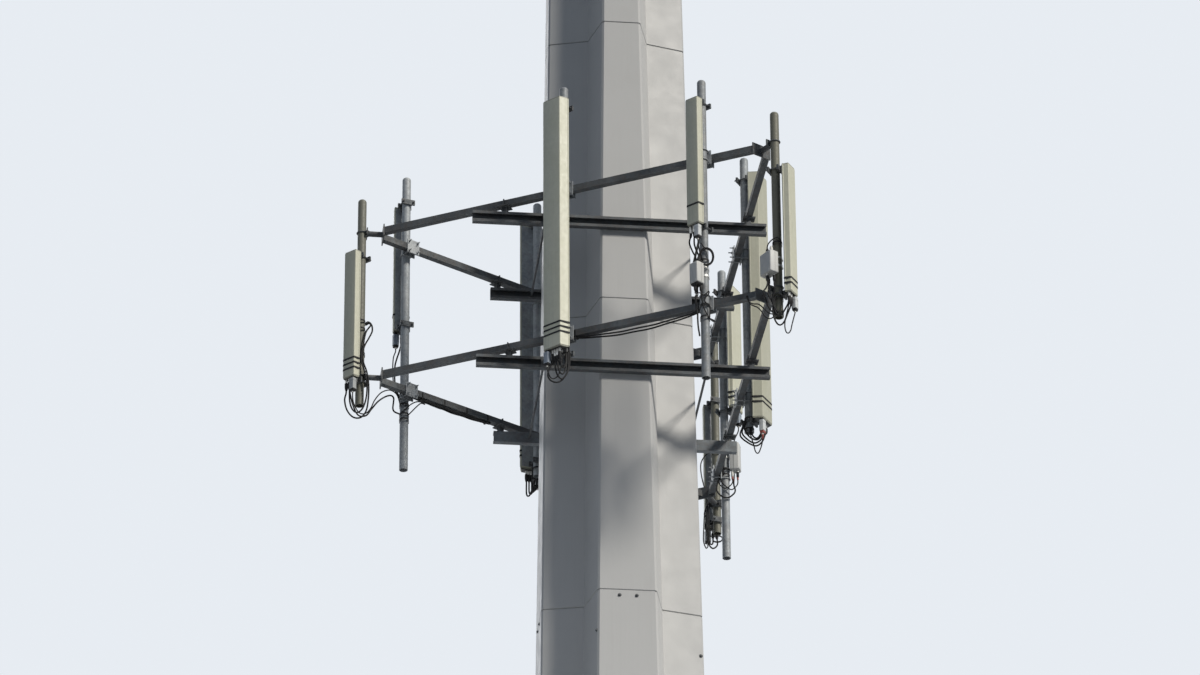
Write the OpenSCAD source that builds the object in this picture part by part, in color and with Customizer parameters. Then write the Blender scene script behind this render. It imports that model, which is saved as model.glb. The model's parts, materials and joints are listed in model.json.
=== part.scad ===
// Cell tower: a tapered four-lobed steel pole that carries a two-tier triangular
// antenna frame with nine mount pipes and nine panel antennas.
// Millimetres, Z up, ground at Z = 0 on the pole's axis, the front lobe towards -Y.

/* [Pole] */
// Height of one pole bay, from seam to seam
bay_h = 2750; // [2600:50:3000]
// Number of pole bays above the ground
bay_count = 5; // [5:1:6]
// Distance from the axis to the end of a lobe at the ground
lobe_reach_base = 738; // [720:1:780]
// How much the lobe's end comes in for each metre of height
lobe_reach_taper = 13.6; // [12:0.1:14]
// Width of a lobe's end face at the ground
lobe_w_base = 636; // [600:2:680]
// How much the lobe's end face narrows for each metre of height
lobe_w_taper = 28.4; // [24:0.2:30]
// Side of the square whose corners are the valleys between lobes, at the ground
valley_w_base = 780; // [760:2:820]
// How much that square shrinks for each metre of height
valley_w_taper = 24.6; // [22:0.2:27]
// Bevel along the upright corners of the lobes
lobe_bevel = 14; // [8:1:24]
// Depth of the bevel that draws a groove at each seam
seam_bevel = 7; // [4:1:12]

/* [Base and top] */
// Width of the base flange outside the anchor bolt circle
flange_edge = 100; // [80:5:130]
// Thickness of the base flange
flange_t = 50; // [30:5:80]
// Diameter of the anchor bolt circle
anchor_pcd = 1760; // [1720:10:1820]
// Number of anchor bolt holes
anchor_count = 16; // [12:4:20]
// Diameter of an anchor bolt hole
anchor_hole_d = 42; // [30:1:50]
// Height of the stiffening ribs on the flange
rib_h = 260; // [150:10:400]
// Thickness of the stiffening ribs
rib_t = 20; // [12:1:30]
// Height of the plate edge of the pole's cap
cap_edge_h = 40; // [20:5:80]
// Rise of the cap's shallow hip
cap_rise = 70; // [30:5:150]
// How far the cap stands out past the pole
cap_lip = 12; // [6:1:25]

/* [Triangular frame] */
// Height of the upper tier's tubes above the ground
upper_tier_z = 9095; // [8800:5:9300]
// Distance between the two tiers
tier_gap = 1390; // [1300:10:1500]
// Side of the triangle that the tubes' centre lines make
frame_side = 3620; // [3500:10:3700]
// Turn of the triangle from the pole's own axes
frame_turn = 1.3; // [0:0.1:3]
// Outer size of the square face tubes
tube_w = 55; // [40:1:60]
// Wall of the square face tubes
tube_wall = 4; // [3:0.5:6]
// Length cut off the corner where two tubes' centre lines meet, to the corner plate
corner_cut = 105; // [95:1:125]
// Width of a corner plate
corner_plate_w = 186; // [180:2:200]
// Height of a corner plate
corner_plate_h = 110; // [90:5:160]
// Thickness of a corner plate
corner_plate_t = 10; // [6:1:16]

/* [Channels and clamps on the pole] */
// Height of the channels' web
channel_h = 102; // [90:1:130]
// Width of the channels' flanges
channel_w = 50; // [44:1:60]
// Thickness of the channels' web and flanges
channel_t = 7; // [5:0.5:9]
// Height of the lips that turn in from the channels' flanges
channel_lip = 24; // [12:1:32]
// Reach of the front channels past the tube that they carry at the left
front_overhang_left = 275; // [100:5:320]
// Reach of the front channels past the tube that they carry at the right
front_overhang_right = 148; // [60:2:200]
// Reach of the rear channels past the tubes that they carry
rear_overhang = 61; // [56:1:120]
// Distance from the channels' top face up to the tubes' underside
seat_h = 55; // [40:1:70]
// Diameter of the long clamp rods
rod_d = 20; // [16:1:24]
// Distance from the side lobes' ends to the rods' axes
rod_clear = 45; // [35:1:60]

/* [Mount pipes] */
// Outer diameter of the mount pipes
pipe_d = 73; // [60:1:80]
// Wall of the mount pipes
pipe_wall = 5; // [3:0.5:7]
// Length of the pipe in the middle of each face
long_pipe_len = 2690; // [2500:10:2800]
// Height of that pipe's top above the upper tier
long_pipe_top = 970; // [850:10:1050]
// Place of that pipe along the face, from its middle
long_pipe_y = 0; // [-100:10:150]
// Length of the pipe near the end of each face
end_pipe_len = 2840; // [2700:10:2900]
// Height of that pipe's top above the upper tier, at the front and the left
end_pipe_top = 735; // [700:5:800]
// Height of that pipe's top above the upper tier, at the right
right_end_pipe_top = 645; // [620:5:720]
// Distance of the front end pipe from its face's far corner
front_end_pipe_in = 562; // [400:1:600]
// Distance of the right end pipe from its face's far corner
right_end_pipe_in = 425; // [400:1:600]
// Distance of the left end pipe from its face's far corner
left_end_pipe_in = 413; // [400:1:600]
// Length of the pipe outside each corner
corner_pipe_len = 1995; // [1900:5:2100]
// Height of that pipe's top above the upper tier, at the left and the rear corner
corner_pipe_top = 330; // [280:5:350]
// Height of that pipe's top above the upper tier, at the right corner
right_corner_pipe_top = 290; // [280:5:350]
// Distance from the corner plates out to the left and right corners' pipes
corner_pipe_out = 185; // [175:5:260]
// Distance from the corner plates out to the rear corner's pipe
rear_corner_pipe_out = 270; // [175:5:300]
// Height of the domed caps on the pipes' tops
pipe_cap_h = 28; // [15:1:36]
// Thickness of the seat between a tube and a pipe, and of the plate behind the tube
clamp_plate_t = 10; // [8:1:16]
// Width of those two plates
clamp_plate_w = 120; // [116:2:150]
// Height of those two plates
clamp_plate_h = 126; // [120:2:160]
// Length of the bolts' tips beyond their nuts behind the tube
clamp_bolt_tip = 24; // [8:1:40]
// Diameter of the U-bolts' rod
ubolt_d = 10; // [8:1:12]

/* [Antennas] */
// Width of the long panel antennas' front
long_antenna_front = 175; // [150:1:200]
// Width of the long panel antennas' back
long_antenna_back = 246; // [210:1:260]
// Depth of the long panel antennas
long_antenna_d = 85; // [75:1:120]
// Length of the long panel antennas
long_antenna_len = 2405; // [2350:5:2450]
// Width of the short panel antennas' front
short_antenna_front = 122; // [110:2:140]
// Width of the short panel antennas' back
short_antenna_back = 146; // [138:1:170]
// Depth of the short panel antennas
short_antenna_d = 60; // [54:1:75]
// Width of the flat panel antenna's front
flat_antenna_front = 184; // [160:2:200]
// Width of the flat panel antenna's back
flat_antenna_back = 200; // [190:2:230]
// Depth of the flat panel antenna
flat_antenna_d = 50; // [48:1:60]
// Length of the short and the flat panel antennas
short_antenna_len = 1220; // [1150:10:1260]
// Height of the front corner antenna's top from the upper tier
front_corner_antenna_z = -236; // [-300:2:-200]
// Height of the front long antenna's top from the upper tier
front_long_antenna_z = 782; // [750:2:830]
// Height of the front end antenna's top from the upper tier
front_end_antenna_z = 498; // [430:2:560]
// Height of the right corner antenna's top from the upper tier
right_corner_antenna_z = -264; // [-300:2:-200]
// Height of the right long antenna's top from the upper tier
right_long_antenna_z = 751; // [730:1:830]
// Height of the right end antenna's top from the upper tier
right_end_antenna_z = 434; // [400:2:520]
// Height of the rear corner antenna's top from the upper tier
left_corner_antenna_z = -350; // [-380:2:-220]
// Height of the left long antenna's top from the upper tier
left_long_antenna_z = 790; // [750:2:830]
// Height of the left end antenna's top from the upper tier
left_end_antenna_z = 484; // [430:2:560]
// Space between a pipe and the back of its antenna
antenna_gap = 52; // [40:1:70]
// Turn of the front sector's antennas from square to their face
front_sector_turn = -15; // [-40:1:0]
// Turn of the right sector's antennas from square to their face
right_sector_turn = -35; // [-40:1:0]
// Turn of the left sector's antennas from square to their face
left_sector_turn = -15; // [-40:1:0]
// Diameter of the tilt units under the antennas
tilt_unit_d = 46; // [38:1:54]
// Length of the tilt units
tilt_unit_len = 150; // [120:5:200]
// Diameter of the antennas' connectors
connector_d = 22; // [16:1:22]
// Length of the antennas' connectors
connector_len = 34; // [20:1:50]

/* [Cables] */
// Diameter of the jumper cables
jumper_d = 13; // [10:1:14]
// Depth of the jumper loops below the corner and the long antennas
jumper_drop = 350; // [280:5:400]
// Depth of the jumper loops below the end antennas
end_jumper_drop = 290; // [240:5:295]
// Sag of the feeder cables that hang between two pipes
feeder_sag = 60; // [20:5:90]

/* [Amplifier boxes] */
// Width of the amplifier boxes on the end pipes
amplifier_w = 100; // [90:5:130]
// Width of the amplifier box on the right corner's pipe
corner_amplifier_w = 150; // [130:5:155]
// Depth of an amplifier box
amplifier_d = 85; // [70:5:110]
// Height of the amplifier box on the front end pipe
front_amplifier_h = 200; // [180:5:215]
// Height of the amplifier box on the right corner's pipe
corner_amplifier_h = 205; // [180:5:215]
// Height of the amplifier box on the right end pipe
right_amplifier_h = 265; // [230:5:280]
// Depth of the front end box's middle below the upper tier
front_amplifier_drop = 1165; // [1130:5:1200]
// Depth of the corner box's middle below the upper tier
corner_amplifier_drop = 1195; // [1150:5:1198]
// Depth of the right end box's middle below the upper tier
right_amplifier_drop = 1232; // [1200:1:1240]

/* [Hidden] */
$fn = 48;

// Running clearance between pieces that only rest against each other
seat_gap = 0.3;
// Clearance of a bolt in its hole, on the diameter
hole_play = 2;
paint = "#b9b7b2";
galvanised = "#8e938f";
weathered = "#5f615d";
radome = "#c3c3ac";
box_grey = "#b4b6b3";
white_plastic = "#d5d6d2";
jacket = "#1b1c1d";

tower_h = bay_h * bay_count;
lower_tier_z = upper_tier_z - tier_gap;
tier_heights = [upper_tier_z, lower_tier_z];
flange_d = anchor_pcd + 2 * flange_edge;
frame_inradius = frame_side / (2 * sqrt(3));
corner_plate_r = frame_side / sqrt(3) - corner_cut;
channel_top_drop = tube_w / 2 + seat_h;
channel_mid_drop = channel_top_drop + channel_h / 2;
channel_low_drop = channel_top_drop + channel_h;
// Distance from a face tube's centre line out to the pipes on that face
pipe_offset = tube_w / 2 + clamp_plate_t + pipe_d / 2;
sector_turns = [front_sector_turn, right_sector_turn, left_sector_turn];
corner_pipe_outs = [corner_pipe_out, corner_pipe_out, rear_corner_pipe_out];
corner_pipe_rs = [for (out = corner_pipe_outs) corner_plate_r + out];
end_pipe_ins = [front_end_pipe_in, right_end_pipe_in, left_end_pipe_in];
end_pipe_ys = [for (in = end_pipe_ins) frame_side / 2 - in];
end_pipe_tops = [end_pipe_top, right_end_pipe_top, end_pipe_top];
corner_pipe_tops = [corner_pipe_top, right_corner_pipe_top, corner_pipe_top];
// Heights of the antennas' tops from the upper tier: corner, long and end of each sector
antenna_tops = [
    [front_corner_antenna_z, front_long_antenna_z, front_end_antenna_z],
    [right_corner_antenna_z, right_long_antenna_z, right_end_antenna_z],
    [left_corner_antenna_z, left_long_antenna_z, left_end_antenna_z],
];
// Each kind of antenna: front, back, depth, length, its connectors' and its tilt
// unit's places across its width
short_antenna = [
    short_antenna_front, short_antenna_back, short_antenna_d, short_antenna_len,
    [-45, -10], 35,
];
flat_antenna = [
    flat_antenna_front, flat_antenna_back, flat_antenna_d, short_antenna_len,
    [-45, -10], 35,
];
long_antenna = [
    long_antenna_front, long_antenna_back, long_antenna_d, long_antenna_len,
    [-22, 2, 26, 50], -63,
];
corner_turn = -60;
nut_h = ubolt_d * 0.8;
nut_d = ubolt_d * 2;
bracket_h = 46;
bracket_in = 12;
jaw_t = 16;
saddle_h = 60;
tilt_unit_in = 19;

// The pole's section at height z: end, half end width and valley of each lobe
function lobe_reach(z) = lobe_reach_base - lobe_reach_taper * z / 1000;
function lobe_half(z) = (lobe_w_base - lobe_w_taper * z / 1000) / 2;
function valley(z) = (valley_w_base - valley_w_taper * z / 1000) / 2;

// One lobe of the section, drawn from a valley over the lobe's end
function lobe_points(z, inset) =
    let (
        r = lobe_reach(z) - inset,
        h = lobe_half(z) - inset,
        v = valley(z) - inset,
        flank = [v - h, r - v] / norm([v - h, r - v]) * lobe_bevel
    )
    [
        [-v, -v],
        [-h - flank[0], -r + flank[1]],
        [-h + lobe_bevel, -r],
        [h - lobe_bevel, -r],
        [h + flank[0], -r + flank[1]],
    ];

function turned(p, a) = [p[0] * cos(a) - p[1] * sin(a), p[0] * sin(a) + p[1] * cos(a)];

// The whole four-lobed ring at height z
function ring(z, inset) = [
    for (k = [0:3], p = lobe_points(z, inset))
        let (q = turned(p, 90 * k)) [q[0], q[1], z]
];

// A closed solid through the rings of the given [height, inset] levels. Both lids
// start from a valley, because the whole section can be seen from there.
module lobed_loft(levels) {
    rings = [for (l = levels) ring(l[0], l[1])];
    n = len(rings[0]);
    m = len(levels);
    sides = [
        for (j = [0:m - 2], i = [0:n - 1])
            let (a = j * n + i, b = j * n + (i + 1) % n)
            each [[a, b + n, b], [a, a + n, b + n]]
    ];
    bottom = [[for (i = [0:n - 1]) i]];
    top = [[for (i = [0:n - 1]) (m - 1) * n + (n - i) % n]];
    polyhedron([for (r = rings, p = r) p], concat(sides, bottom, top));
}

// Places a child in a sector: local +X out of the face, local +Y along it
module sector(k) rotate([0, 0, 120 * (k - 1) + frame_turn]) children();

// Places a child at a sector's starting corner, local +X out from the axis
module at_corner(k) sector(k) rotate([0, 0, corner_turn]) children();

// Places a child on one of a sector's three pipes, local +X where its antenna faces
module at_pipe(k, which) {
    aim = sector_turns[k];
    corner_xy = turned([corner_pipe_rs[k], 0], corner_turn);
    places = [
        corner_xy,
        [frame_inradius + pipe_offset, long_pipe_y],
        [frame_inradius + pipe_offset, end_pipe_ys[k]],
    ];
    sector(k)
        translate([places[which][0], places[which][1], upper_tier_z])
        rotate([0, 0, aim])
        children();
}

// A round U-bolt in the XY plane: legs run along -X, the bend goes round the origin
module ubolt(inner_d, leg) {
    r = inner_d / 2 + ubolt_d / 2;
    rotate([0, 0, -90])
        rotate_extrude(angle = 180)
        translate([r, 0])
        circle(d = ubolt_d);
    for (s = [-1, 1])
        translate([0, s * r, 0])
        rotate([0, -90, 0])
        cylinder(d = ubolt_d, h = leg);
}

// A hexagon nut, its axis along X, seated on the plane X = 0 and standing to -X
module nut(d = nut_d, h = nut_h) rotate([0, -90, 0]) cylinder(d = d, h = h, $fn = 6);

module pole_bay(k) {
    z0 = k == 1 ? flange_t : (k - 1) * bay_h;
    z1 = k * bay_h;
    color(paint)
        lobed_loft([
            [z0, seam_bevel], [z0 + seam_bevel, 0],
            [z1 - seam_bevel, 0], [z1, seam_bevel],
        ]);
}

module base_flange() {
    rib_foot = flange_d / 2 - 30;
    rib_toe = 30;
    lobe_gap = seat_gap;
    color(paint) {
        difference() {
            cylinder(d = flange_d, h = flange_t, $fn = 96);
            for (i = [0:anchor_count - 1])
                rotate([0, 0, 360 / anchor_count * (i + 0.5)])
                translate([anchor_pcd / 2, 0, -1])
                cylinder(d = anchor_hole_d, h = flange_t + 2);
        }
        for (k = [0:3])
            rotate([0, 0, 90 * k])
            rotate([90, 0, 0])
            translate([0, 0, -rib_t / 2])
            linear_extrude(rib_t)
            polygon([
                [lobe_reach(flange_t) + lobe_gap, flange_t],
                [rib_foot, flange_t],
                [rib_foot, flange_t + rib_toe],
                [lobe_reach(flange_t + rib_h) + rib_toe, flange_t + rib_h],
                [lobe_reach(flange_t + rib_h) + lobe_gap, flange_t + rib_h],
            ]);
    }
}

module pole_cap() {
    hip = lobe_half(tower_h) * 0.8;
    color(paint)
        lobed_loft([
            [tower_h, -cap_lip], [tower_h + cap_edge_h, -cap_lip],
            [tower_h + cap_edge_h + cap_rise, hip],
        ]);
}

// A lipped channel with its web at Y = 0 and its flanges towards -Y, from x0 to x1
module channel(x0, x1) {
    rotate([90, 0, 90])
        translate([0, -channel_h, x0])
        linear_extrude(x1 - x0)
        polygon([
            [0, 0], [0, channel_h],
            [-channel_w, channel_h], [-channel_w, channel_h - channel_lip],
            [-channel_w + channel_t, channel_h - channel_lip],
            [-channel_w + channel_t, channel_h - channel_t],
            [-channel_t, channel_h - channel_t], [-channel_t, channel_t],
            [-channel_w + channel_t, channel_t], [-channel_w + channel_t, channel_lip],
            [-channel_w, channel_lip], [-channel_w, 0],
        ]);
}

// Distance from the axis to the web of the channels of a tier
function web_y(tier_z) = lobe_reach(tier_z - channel_low_drop) + seat_gap;
// Distance from the axis to the clamp rods of a tier
function rod_x(tier_z) = lobe_reach(tier_z - channel_low_drop) + rod_clear;

// Where a sector's tube crosses a channel's middle line, along the channel
function crossing_x(k, y) =
    let (a = 120 * (k - 1) + frame_turn) (frame_inradius - sin(a) * y) / cos(a);

// A pole channel in its place: side -1 is the front one, 1 the rear one. Its web lies
// on the pole, or with the flanges turned inward their lips do.
module pole_channel(side, left, right, tier_z, inward) {
    seat_y = side * (web_y(tier_z) + channel_w / 2);
    x0 = crossing_x(side < 0 ? 0 : 2, seat_y) - left;
    x1 = crossing_x(1, seat_y) + right;
    color(weathered)
        difference() {
            translate([0, side * web_y(tier_z), tier_z - channel_top_drop])
                if (side < 0) channel(x0, x1);
                else if (inward) translate([0, channel_w, 0]) channel(x0, x1);
                else rotate([0, 0, 180]) channel(-x1, -x0);
            for (s = [-1, 1])
                translate([s * rod_x(tier_z), 0, tier_z - channel_mid_drop])
                rotate([-90 * side, 0, 0])
                translate([0, 0, web_y(tier_z) - channel_t])
                cylinder(d = rod_d + hole_play, h = channel_w + 2 * channel_t);
        }
}

module clamp_rods() {
    washer_t = 8;
    washer_h = channel_h - 6;
    big_nut_h = rod_d * 0.8;
    stick_out = washer_t + big_nut_h + 12;
    color(galvanised)
        for (z = tier_heights, s = [-1, 1])
            translate([s * rod_x(z), 0, z - channel_mid_drop]) {
                half = web_y(z) + channel_w + stick_out;
                rotate([90, 0, 0])
                    cylinder(d = rod_d, h = 2 * half, center = true);
                for (a = [-90, 90])
                    rotate([a, 0, 0])
                    translate([0, 0, web_y(z) + channel_w]) {
                        translate([-24, -washer_h / 2, 0]) cube([48, washer_h, washer_t]);
                        translate([0, 0, washer_t])
                            cylinder(d = rod_d * 1.8, h = big_nut_h, $fn = 6);
                    }
            }
}

// A welded block and plate that carry a tube on a channel, with the tube's U-bolt
module tube_seat() {
    plate_t = 8;
    block_l = 46;
    block_w = 34;
    plate_w = tube_w + 2 * ubolt_d + 30;
    leg_z = tube_w / 2 + ubolt_d / 2 + 1;
    translate([-block_w / 2, -block_l / 2, -tube_w / 2 - seat_h])
        cube([block_w, block_l, seat_h - plate_t]);
    translate([-plate_w / 2, -block_l, -tube_w / 2 - plate_t])
        cube([plate_w, 2 * block_l, plate_t]);
    rotate([0, -90, 0])
        translate([tube_w / 2 + seat_gap, 0, 0])
        rotate([90, 0, 0])
        flat_ubolt(leg_z);
}

// The tube's U-bolt: a bar over the tube and two legs down through the plate
module flat_ubolt(leg_z) {
    leg = tube_w + ubolt_d / 2 + 8 + nut_h + 4;
    translate([ubolt_d / 2, -leg_z, 0]) rotate([-90, 0, 0]) cylinder(d = ubolt_d, h = 2 * leg_z);
    for (s = [-1, 1])
        translate([ubolt_d / 2, s * leg_z, 0]) {
            sphere(d = ubolt_d);
            rotate([0, -90, 0]) cylinder(d = ubolt_d, h = leg + ubolt_d / 2);
            translate([-tube_w - 8 - ubolt_d / 2 - seat_gap, 0, 0]) nut();
        }
}

module tube_seats() {
    seats = [[-1, 0], [-1, 1], [1, 1], [1, 2]];
    color(galvanised)
        for (z = tier_heights, seat = seats) {
            y = seat[0] * (web_y(z) + channel_w / 2);
            a = 120 * (seat[1] - 1) + frame_turn;
            translate([crossing_x(seat[1], y), y, z]) rotate([0, 0, a]) tube_seat();
        }
}

// Everything inside a corner plate's inner face, in a sector turned by angle a
module mitre_block(a, z) {
    inner = corner_plate_r - seat_gap;
    rotate([0, 0, a])
        translate([inner - frame_side, -frame_side, z - tube_w])
        cube([frame_side, 2 * frame_side, 2 * tube_w]);
}

module face_tubes(k) {
    color(weathered)
        for (z = tier_heights)
            sector(k)
            intersection() {
                translate([frame_inradius, 0, z])
                    difference() {
                        cube([tube_w, frame_side, tube_w], center = true);
                        cube([tube_w - 2 * tube_wall, frame_side + 2, tube_w - 2 * tube_wall],
                             center = true);
                    }
                mitre_block(corner_turn, z);
                mitre_block(-corner_turn, z);
            }
}

// The two stand-offs at a corner: plate, short round tube, saddle and U-bolt
module standoffs(k) {
    arm_d = 48;
    saddle_t = 10;
    saddle_w = pipe_d + 2 * ubolt_d + 24;
    pipe_r = corner_pipe_rs[k];
    saddle_x = pipe_r - pipe_d / 2 - saddle_t;
    leg = pipe_d / 2 + saddle_t + nut_h + 6;
    color(galvanised)
        for (z = tier_heights)
            at_corner(k)
            translate([0, 0, z]) {
                translate([corner_plate_r, -corner_plate_w / 2, -corner_plate_h / 2])
                    cube([corner_plate_t, corner_plate_w, corner_plate_h]);
                translate([corner_plate_r + corner_plate_t, 0, 0])
                    rotate([0, 90, 0])
                    cylinder(d = arm_d, h = saddle_x - corner_plate_r - corner_plate_t);
                translate([saddle_x, -saddle_w / 2, -saddle_h / 2])
                    cube([saddle_t - seat_gap, saddle_w, saddle_h]);
                translate([pipe_r, 0, 0]) {
                    ubolt(pipe_d + 2 * seat_gap, leg);
                    for (s = [-1, 1])
                        translate([-pipe_d / 2 - saddle_t, s * (pipe_d / 2 + ubolt_d / 2), 0])
                        nut();
                }
            }
}

// A pipe closed by a domed cap and open at its foot
module mount_pipe(top, len) {
    r = pipe_d / 2;
    rim = top - pipe_cap_h * sin(80);
    rotate_extrude()
        polygon([
            [r - pipe_wall, top - len],
            [r, top - len],
            for (a = [0:20:80]) [r * cos(a), rim + pipe_cap_h * sin(a)],
            [0, top],
            [0, rim],
            [r - pipe_wall, rim],
        ]);
}

module pipes(k) {
    color(galvanised) {
        at_pipe(k, 0)
            mount_pipe(corner_pipe_tops[k], corner_pipe_len + corner_pipe_tops[k] - corner_pipe_top);
        at_pipe(k, 1) mount_pipe(long_pipe_top, long_pipe_len);
        at_pipe(k, 2) mount_pipe(end_pipe_tops[k], end_pipe_len);
    }
}

// Clamp that holds a pipe on a tube: a seat between them, a plate behind the tube, and two
// U-bolts round the pipe whose legs pass above and below the tube
module crossover_clamp() {
    bolt_y = pipe_d / 2 + ubolt_d / 2;
    bolt_z = (tube_w + clamp_plate_h) / 4;
    back_x = -tube_w / 2 - clamp_plate_t - seat_gap;
    for (x = [tube_w / 2 + seat_gap, back_x])
        translate([x, -clamp_plate_w / 2, -clamp_plate_h / 2])
        cube([clamp_plate_t - 2 * seat_gap, clamp_plate_w, clamp_plate_h]);
    for (s = [-1, 1])
        translate([pipe_offset, 0, s * bolt_z]) {
            ubolt(pipe_d + 2 * seat_gap, pipe_offset - back_x + nut_h + clamp_bolt_tip);
            for (t = [-1, 1])
                translate([back_x - pipe_offset, t * bolt_y, 0])
                nut();
        }
}

module pipe_clamps(k) {
    color(galvanised)
        for (z = tier_heights, y = [long_pipe_y, end_pipe_ys[k]])
            sector(k)
            translate([frame_inradius, y, z])
            crossover_clamp();
}

// A panel antenna seen from above: narrower in front, its back on Y = 0 facing +X
module antenna_outline(front_w, back_w, d) {
    bevel = 7;
    lip = 6;
    polygon([
        [0, -back_w / 2 + lip], [lip, -back_w / 2], [lip + 8, -back_w / 2],
        [d - bevel, -front_w / 2 - bevel * 0.3], [d, -front_w / 2 + bevel],
        [d, front_w / 2 - bevel], [d - bevel, front_w / 2 + bevel * 0.3],
        [lip + 8, back_w / 2], [lip, back_w / 2], [0, back_w / 2 - lip],
    ]);
}

// The kind of antenna on a sector's given pipe
function antenna_kind(k, which) =
    which == 1 ? long_antenna : k == 1 && which == 2 ? flat_antenna : short_antenna;

// Distances from a pipe's axis to the back, the connectors and the tilt unit
function antenna_back() = pipe_d / 2 + antenna_gap;
function connector_x(kind) = antenna_back() + kind[2] / 2;
function tilt_unit_x(kind) = antenna_back() + kind[2] - tilt_unit_in;

// Radome with a stepped cap at each end and a row of connectors below
module panel_antenna(kind) {
    cap_h = 10;
    step = 3;
    len = kind[3];
    translate([antenna_back(), 0, -len]) {
        translate([0, 0, cap_h])
            linear_extrude(len - 2 * cap_h)
            antenna_outline(kind[0], kind[1], kind[2]);
        for (z = [0, len - cap_h])
            translate([step, 0, z])
            linear_extrude(cap_h)
            antenna_outline(kind[0] - 2 * step, kind[1] - 2 * step, kind[2] - 2 * step);
    }
    for (y = kind[4])
        translate([connector_x(kind), y, -len - connector_len])
        cylinder(d = connector_d, h = connector_len);
}

module antenna(k, which) {
    color(radome)
        at_pipe(k, which)
        translate([0, 0, antenna_tops[k][which]])
        panel_antenna(antenna_kind(k, which));
}

// Two jaws round the pipe, their bolts, and the arm to the antenna's back
module antenna_bracket() {
    jaw_w = pipe_d + 46;
    bolt_y = pipe_d / 2 + ubolt_d / 2 + 3;
    bolt_len = pipe_d + 2 * jaw_t + 2 * nut_h + 20;
    reach = antenna_gap - seat_gap;
    translate([pipe_d / 2 + seat_gap, -jaw_w / 2, -bracket_h / 2])
        cube([jaw_t, jaw_w, bracket_h]);
    translate([pipe_d / 2 + seat_gap, -bracket_h / 2, -bracket_h / 2])
        cube([reach - seat_gap, bracket_h, bracket_h]);
    translate([-pipe_d / 2 - seat_gap - jaw_t, -jaw_w / 2, -bracket_h / 2])
        cube([jaw_t, jaw_w, bracket_h]);
    for (s = [-1, 1])
        translate([-pipe_d / 2 - jaw_t - nut_h - 10, s * bolt_y, 0]) {
            rotate([0, 90, 0]) cylinder(d = ubolt_d, h = bolt_len - nut_h - 8);
            translate([10 + nut_h - seat_gap, 0, 0]) nut();
        }
}

// Height of an antenna's bottom from the upper tier
function antenna_bottom(k, which) = antenna_tops[k][which] - antenna_kind(k, which)[3];

// Height of the lower bracket, kept clear of the clamp or saddle at the lower tier
function foot_bracket_z(k, which) =
    let (
        z = antenna_bottom(k, which) + (which == 2 ? 1 : 2) * bracket_in,
        room = (which == 0 ? saddle_h : clamp_plate_h) / 2 + bracket_h / 2 + 6,
        above = z + tier_gap
    )
    abs(above) >= room ? z : -tier_gap + (above > 0 ? room : -room);

module antenna_brackets(k) {
    color(galvanised)
        for (which = [0:2], z = [antenna_tops[k][which] - bracket_in, foot_bracket_z(k, which)])
            at_pipe(k, which)
            translate([0, 0, z])
            antenna_bracket();
}

module tilt_units() {
    color(white_plastic)
        for (k = [0:2], which = [0:2]) {
            kind = antenna_kind(k, which);
            at_pipe(k, which)
                translate([tilt_unit_x(kind), kind[5], antenna_bottom(k, which) - seat_gap])
                mirror([0, 0, 1])
                cylinder(d = tilt_unit_d, h = tilt_unit_len);
        }
}

// A jumper loop from x0 down and back up to x1, its ends at heights z0 and z1
module jumper_loop(x0, x1, z0, z1, bottom) {
    r = (x0 - x1) / 2;
    bend_z = bottom + r + jumper_d / 2;
    translate([x0, 0, bend_z]) cylinder(d = jumper_d, h = z0 - bend_z);
    translate([x1, 0, bend_z]) cylinder(d = jumper_d, h = z1 - bend_z);
    translate([(x0 + x1) / 2, 0, bend_z])
        rotate([90, 0, 0])
        rotate([0, 0, 180])
        rotate_extrude(angle = 180)
        translate([r, 0])
        circle(d = jumper_d);
}

// The loops from each antenna's connectors back to the foot of its lower bracket
module jumpers(k) {
    clip_x = pipe_d / 2 + seat_gap + jaw_t / 2;
    color(jacket)
        for (which = [0:2]) {
            kind = antenna_kind(k, which);
            z = antenna_bottom(k, which);
            drop = which == 2 ? end_jumper_drop : jumper_drop;
            at_pipe(k, which)
                for (y = kind[4])
                translate([0, y, 0])
                jumper_loop(connector_x(kind), clip_x, z - connector_len,
                            foot_bracket_z(k, which) - bracket_h / 2, z - drop);
        }
}

// A cable that hangs in a shallow arc along +Y, its ends' upper side at Z = 0
module hung_cable(len, sag) {
    r = (pow(len / 2, 2) + sag * sag) / (2 * sag);
    half = asin(len / 2 / r);
    translate([0, len / 2, r - sag - jumper_d / 2])
        rotate([90, 0, 90])
        rotate([0, 0, -90 - half])
        rotate_extrude(angle = 2 * half, $fn = 720)
        translate([r, 0])
        circle(d = jumper_d, $fn = 24);
}

// Feeder cables under the lower tier: two hang below the front tube between its pipes,
// and two lie along the left tube
module feeder_cables() {
    front_from = long_pipe_y + clamp_plate_w / 2;
    front_to = end_pipe_ys[0] - clamp_plate_w / 2;
    left_from = 560;
    left_to = end_pipe_ys[2] - clamp_plate_w / 2;
    runs = [
        [0, -9, front_from, front_to, feeder_sag],
        [0, 9, front_from, front_to, feeder_sag * 0.7],
        [2, -9, left_from, left_to, feeder_sag * 0.2],
        [2, 9, left_from, left_to, feeder_sag * 0.3],
    ];
    color(jacket)
        for (run = runs)
            sector(run[0])
            translate([frame_inradius + run[1], run[2], lower_tier_z - tube_w / 2 - seat_gap])
            hung_cable(run[3] - run[2], run[4]);
}

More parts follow.
